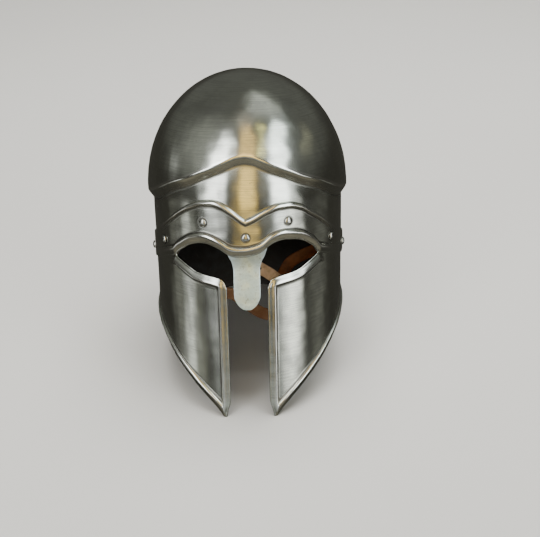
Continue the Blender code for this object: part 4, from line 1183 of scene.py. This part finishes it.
def strap_leather(name, base, dark, rough, worn):
    """Vegetable tanned strap leather, waxed: pores about 0.7 mm apart, creases across the bends and
    darker, handled edges. A painted shade darkens it from the temple up to the length its last argument
    gives.
    """
    made, tree, shader, place, crest = blank_material(name)
    along = put(tree, "ShaderNodeUVMap", uv_map="along")
    lay = put(tree, STRETCH, {"Vector": along, "Scale": (1 / 0.0016, 1 / 0.010, 1.0)})
    pores = put(tree, "ShaderNodeTexVoronoi", {"Vector": place, "Scale": 1 / 0.0007},
                feature="DISTANCE_TO_EDGE")
    stain = put(tree, NOISE, {"Vector": place, "Scale": 1 / 0.009, "Detail": 4.0, "Roughness": 0.6})
    crease = put(tree, NOISE, {"Vector": lay, "Scale": 1.0, "Detail": 3.0, "Roughness": 0.6})
    length = put(tree, "ShaderNodeSeparateXYZ", {0: along}).outputs["X"]
    tone = colour4(base)
    # Stains, creases, handled edges and the painted shade along the length from the temple
    for value, low, high, least, most in (
            (stain, 0.35, 0.75, 0.0, 0.75), (crease, 0.55, 0.72, 0.0, 0.35), (crest, 0.5, 1.0, 0.0, 0.7),
            (length, worn, worn + 0.02, 0.85, 0.0)):
        share = put(tree, RANGE, {
            "Value": value, "From Min": low, "From Max": high, "To Min": least, "To Max": most}, **SOFT)
        tone = put(tree, MIX, {0: share, 6: tone, 7: colour4(dark)}, data_type="RGBA")
    gloss = put(tree, RANGE, {
        "Value": stain, "From Min": 0.3, "From Max": 0.7, "To Min": rough, "To Max": rough + 0.16}, **SOFT)
    raised = put(tree, RANGE, {"Value": pores, "From Max": 0.25, "To Max": 0.5}, **SOFT)
    height = put(tree, MATH, {0: crease, 1: -0.6, 2: raised}, operation="MULTIPLY_ADD")
    dress(tree, shader, tone, gloss, put(tree, BUMP, {"Strength": 0.5, "Distance": 0.0002, "Height": height}))
    return made


def floor_paper(colours):
    """Matte seamless paper, a faint unevenness in its tone."""
    made, tree, shader, place, _ = blank_material("pale_paper")
    share = put(tree, NOISE, {"Vector": place, "Scale": 2.0, "Detail": 3.0})
    shade = colour4([c * 0.94 for c in colours.floor])
    tone = put(tree, MIX, {0: share, 6: colour4(colours.floor), 7: shade}, data_type="RGBA")
    gloss = put(tree, RANGE, {"Value": share, "To Min": 0.86, "To Max": 0.94})
    fibre = put(tree, NOISE, {"Vector": place, "Scale": 900.0, "Detail": 2.0})
    dress(tree, shader, tone, gloss, put(tree, BUMP, {"Strength": 0.08, "Distance": 0.0004, "Height": fibre}))
    return made


# Soft panels of the studio that the steel reflects: turn from the front and rise, both in degrees, then
# half width, half height, softness across and up, colour and brightness
PANELS = (
    (-44.0, 16.0, 11.0, 21.0, 6.0, 3.0, "#F4F7F8", 5.5),
    (-44.0, 50.0, 16.0, 15.0, 9.0, 5.0, "#F4F7F8", 6.5),
    (-84.0, 40.0, 26.0, 22.0, 18.0, 14.0, "#C9CCC4", 0.40),
    (-104.0, 8.0, 5.0, 5.0, 5.0, 5.0, "#DDE0DE", 0.6),
    (-81.0, -22.0, 6.0, 8.0, 6.0, 5.0, "#DDE0DC", 1.8),
    (-68.0, -24.0, 7.0, 8.0, 5.0, 5.0, "#C9CBBE", 0.40),
    (-99.0, -25.0, 9.0, 7.0, 8.0, 4.0, "#C9CBC2", 0.34),
    (98.0, -25.0, 11.0, 7.0, 9.0, 4.0, "#C9CBC2", 0.28),
    (9.0, 70.0, 20.0, 18.0, 9.0, 10.0, "#F0C878", 1.8),
    (0.0, 88.0, 180.0, 8.0, 1.0, 8.0, "#E9E6DC", 0.5),
    (145.0, 64.0, 26.0, 12.0, 14.0, 9.0, "#DDE2DC", 1.0),
    (1.0, 25.0, 12.0, 30.0, 8.0, 3.0, "#F4CE74", 2.4),
    (0.0, -22.0, 42.0, 8.0, 12.0, 5.0, "#D2D8D6", 0.85),
    (36.0, 55.0, 3.0, 3.0, 3.0, 3.0, "#F2EA8E", 5.0),
    (48.0, 63.0, 4.0, 3.0, 4.0, 3.0, "#F2EA8E", 5.0),
    (70.0, 71.0, 7.0, 3.0, 6.0, 3.0, "#F2EA8E", 3.5),
    (48.0, 14.0, 13.0, 19.0, 7.0, 4.0, "#F2F7F8", 6.0),
    (60.0, 45.0, 15.0, 11.0, 7.0, 4.0, "#EAF2F4", 6.5),
    (86.0, 53.0, 19.0, 8.0, 9.0, 4.0, "#E6F0F0", 4.5),
    (105.0, 24.0, 14.0, 4.0, 6.0, 5.0, "#D2D0AE", 0.45),
    (58.0, -15.0, 11.0, 7.0, 8.0, 4.0, "#F2F4F0", 3.2),
    (0.0, -50.0, 80.0, 10.0, 14.0, 12.0, "#CFC6AE", 0.45),
)


def paint_room(settings):
    """World: a dim room, lighter above, with the soft panels round the helmet."""
    world = bpy.data.worlds.new("studio_room")
    bpy.context.scene.world = world
    world.use_nodes = True
    tree = world.node_tree
    sky = tree.nodes["Background"]
    way = put(tree, "ShaderNodeTexCoord").outputs["Generated"]
    parts = put(tree, "ShaderNodeSeparateXYZ", {0: way}).outputs
    ahead = put(tree, MATH, {0: parts["Y"], 1: -1.0}, operation="MULTIPLY")
    turn = put(tree, MATH, {0: parts["X"], 1: ahead}, operation="ARCTAN2")
    rise = put(tree, MATH, {0: parts["Z"]}, operation="ARCSINE")
    turn, rise = [put(tree, MATH, {0: angle}, operation="DEGREES") for angle in (turn, rise)]
    above = put(tree, RANGE, {"Value": rise, "From Min": -8.0, "From Max": 18.0}, **SOFT)
    low, high = [colour4(linear(code)) for code in ROOM_TONES]
    total = put(tree, MIX, {0: above, 6: low, 7: high}, data_type="RGBA")
    for middle, height, wide, tall, soft, soft_up, code, light in PANELS:
        shares = []
        for angle, centre, reach, edge in ((turn, middle, wide, soft), (rise, height, tall, soft_up)):
            away = put(tree, MATH, {0: angle, 1: centre}, operation="SUBTRACT")
            away = put(tree, MATH, {0: away, 1: 180.0, 2: -180.0}, operation="WRAP")
            away = put(tree, MATH, {0: away}, operation="ABSOLUTE")
            shares.append(put(tree, RANGE, {
                "Value": away, "From Min": reach + edge, "From Max": reach - edge}, **SOFT))
        share = put(tree, MATH, dict(enumerate(shares)), operation="MULTIPLY")
        glow = colour4([c * light / max(settings.room, 0.01) for c in linear(code)])
        total = put(tree, MIX, {0: share, 6: total, 7: glow}, data_type="RGBA", blend_type="ADD")
    # Behind the floor's edge the eye meets the plain pale wall of the studio
    rays = put(tree, "ShaderNodeLightPath").outputs
    wall = colour4([c / max(settings.room, 0.01) for c in linear(WALL_TONE)])
    total = put(tree, MIX, {0: rays["Is Camera Ray"], 6: total, 7: wall}, data_type="RGBA")
    tree.links.new(total.outputs[2], sky.inputs["Color"])
    # The panels light the floor less than they shine in the steel, so the inside of the helmet stays dark
    dim = put(tree, RANGE, {
        "Value": rays["Is Diffuse Ray"], "To Min": settings.room, "To Max": ROOM_SPILL * settings.room})
    tree.links.new(dim.outputs["Result"], sky.inputs["Strength"])
    return world


def soft_light(name, place, width, power, code):
    """Square soft light above the helmet that shines straight down."""
    data = bpy.data.lights.new(name, "AREA")
    data.shape = "SQUARE"
    data.size = width
    data.energy = power
    data.color = linear(code)
    light = new_object(name, data)
    light.location = place
    light.visible_glossy = False
    return light


def studio_floor(made):
    """Round floor under the helmet."""
    mesh = bpy.data.meshes.new("studio_floor")
    ring = [(FLOOR_RADIUS * math.cos(turn), FLOOR_RADIUS * math.sin(turn), 0.0)
            for turn in 2.0 * math.pi * np.arange(FLOOR_SIDES) / FLOOR_SIDES]
    mesh.from_pydata(ring, [], [list(range(FLOOR_SIDES))])
    mesh.materials.append(made)
    thing = new_object("studio_floor", mesh)
    thing.visible_glossy = False
    return thing


def place_camera():
    """Camera at the photograph's angle: raised about 31 degrees, straight in front."""
    data = bpy.data.cameras.new("photo_camera")
    data.sensor_fit = "HORIZONTAL"
    data.sensor_width = SENSOR_WIDTH
    data.lens = SENSOR_WIDTH * CAMERA_FOCAL / PICTURE_WIDTH
    data.clip_start = 0.01
    camera = new_object("photo_camera", data)
    pitch, turn, roll = (math.radians(a) for a in CAMERA_ANGLES)
    back = Vector((math.sin(turn) * math.cos(pitch), -math.cos(turn) * math.cos(pitch), math.sin(pitch)))
    side = Vector((math.cos(turn), math.sin(turn), 0.0))
    up = back.cross(side)
    right = side * math.cos(roll) + up * math.sin(roll)
    top = up * math.cos(roll) - side * math.sin(roll)
    turned = Matrix((right, top, back)).transposed().to_4x4()
    camera.matrix_world = Matrix.Translation(Vector(CAMERA_AT)) @ turned
    bpy.context.scene.camera = camera
    return camera


def settings_of(context):
    scene = context.scene
    return scene.helmet_sizes, scene.helmet_colours, scene.helmet_stage


def shared(name, make, *values):
    """A material by name, made on its first use."""
    return bpy.data.materials.get(name) or make(*values)


class HELMET_OT_body(bpy.types.Operator):
    """Makes the body: dome, step, wall, neck guard and cheeks with raised rims"""
    bl_idname = "helmet.body"
    bl_label = "Body"

    def execute(self, context):
        sizes, colours, _ = settings_of(context)
        made = brushed_steel("brushed_sheet_steel", colours)
        # Inner faces get the near-black painted shade
        inside = shared("inside_shade_steel", inside_shade_steel, colours)
        finish_piece(shell_piece(sizes), "polished_steel", [made, inside], "shell")
        return {"FINISHED"}


class HELMET_OT_brow_plate(bpy.types.Operator):
    """Makes the riveted brow plate with its bead and its wide rim"""
    bl_idname = "helmet.brow_plate"
    bl_label = "Brow plate"

    def execute(self, context):
        sizes, colours, _ = settings_of(context)
        spots = [flat_place(station_angle(place), DROP * share) for place, share in RIVETS]
        made = brushed_steel("brushed_plate_steel", colours, spots)
        inside = shared("inside_shade_steel", inside_shade_steel, colours)
        finish_piece(plate_piece(sizes), "plate_steel", [made, inside], "brow_plate")
        return {"FINISHED"}


class HELMET_OT_nose_strip(bpy.types.Operator):
    """Makes the matte nose strip below the brow plate"""
    bl_idname = "helmet.nose_strip"
    bl_label = "Nose strip"

    def execute(self, context):
        sizes, colours, _ = settings_of(context)
        made = matte_steel(colours)
        finish_piece(nasal_piece(sizes), "plain_steel", [made, made], "nasal")
        return {"FINISHED"}


class HELMET_OT_rivets(bpy.types.Operator):
    """Grows the seven domed rivet heads on the brow plate"""
    bl_idname = "helmet.rivets"
    bl_label = "Rivets"

    def execute(self, context):
        sizes, colours, _ = settings_of(context)
        made = turned_steel("polished_rivet_steel", colours.rivet, colours.steel_dull, 0.16)
        finish_piece(rivet_piece(sizes, made), "rivet_steel", [made], *RIVET_NODES)
        return {"FINISHED"}


class HELMET_OT_buckle(bpy.types.Operator):
    """Bends the plain wire frame that joins the halves of the strap"""
    bl_idname = "helmet.buckle"
    bl_label = "Buckle"

    def execute(self, context):
        sizes, colours, _ = settings_of(context)
        made = turned_steel("drawn_buckle_wire", colours.steel, colours.grime_and_shade, 0.3)
        finish_piece(buckle_piece(sizes, made), "buckle_steel", [made], "buckle")
        return {"FINISHED"}


class HELMET_OT_straps(bpy.types.Operator):
    """Lays the two halves of the leather chin strap"""
    bl_idname = "helmet.straps"
    bl_label = "Chin strap"

    def execute(self, context):
        sizes, colours, _ = settings_of(context)
        (right, right_out), (left, left_out) = strap_routes(sizes)
        # The last value is the length from the temple that is darkened as painted shade
        brown = strap_leather("waxed_brown_leather", colours.leather, colours.leather_dark, 0.36, 0.0)
        tan = strap_leather("tan_strap_leather", colours.tan, colours.tan_dark, 0.5, 0.18)
        short = stand(strap_piece("strap_short", right, right_out, sizes, 7))
        finish_piece(short, "brown_leather", [brown], "strap_a")
        long = strap_piece("strap_long", left, left_out, sizes, 11)
        long = stand(punch(long, left[-2], left[-1], sizes))
        finish_piece(long, "tan_leather", [tan], "strap_b")
        return {"FINISHED"}


class HELMET_OT_stage(bpy.types.Operator):
    """Sets the pale floor, the studio light and the camera"""
    bl_idname = "helmet.stage"
    bl_label = "Stage"

    def execute(self, context):
        _, colours, stage = settings_of(context)
        place_camera()
        studio_floor(floor_paper(colours))
        for (name, place, width, code), power in zip(LIGHTS, (stage.key_power, stage.fill_power)):
            soft_light(name, place, width, power, code)
        paint_room(stage)
        return {"FINISHED"}


PIECE_OPERATORS = (
    HELMET_OT_body, HELMET_OT_brow_plate, HELMET_OT_nose_strip, HELMET_OT_rivets, HELMET_OT_buckle,
    HELMET_OT_straps, HELMET_OT_stage,
)


class HELMET_PT_panel(bpy.types.Panel):
    """Lists the pieces of the helmet and their sizes and colours"""
    bl_idname = "HELMET_PT_panel"
    bl_label = "Corinthian helmet"
    bl_space_type = "VIEW_3D"
    bl_region_type = "UI"
    bl_category = "Helmet"

    def draw(self, context):
        layout = self.layout
        for operator in PIECE_OPERATORS:
            layout.operator(operator.bl_idname)
        for group in settings_of(context):
            box = layout.box()
            for name in group.bl_rna.properties.keys():
                if name not in ("rna_type", "name"):
                    box.prop(group, name)


CLASSES = (HelmetSizes, HelmetColours, HelmetStage, *PIECE_OPERATORS, HELMET_PT_panel)


def register():
    for cls in CLASSES:
        bpy.utils.register_class(cls)
    bpy.types.Scene.helmet_sizes = PointerProperty(type=HelmetSizes)
    bpy.types.Scene.helmet_colours = PointerProperty(type=HelmetColours)
    bpy.types.Scene.helmet_stage = PointerProperty(type=HelmetStage)


def unregister():
    del bpy.types.Scene.helmet_stage
    del bpy.types.Scene.helmet_colours
    del bpy.types.Scene.helmet_sizes
    for cls in reversed(CLASSES):
        bpy.utils.unregister_class(cls)


def main():
    register()
    bpy.ops.helmet.stage()
    bpy.ops.helmet.body()
    bpy.ops.helmet.brow_plate()
    bpy.ops.helmet.nose_strip()
    bpy.ops.helmet.rivets()
    bpy.ops.helmet.straps()
    bpy.ops.helmet.buckle()


if __name__ == "__main__":
    main()
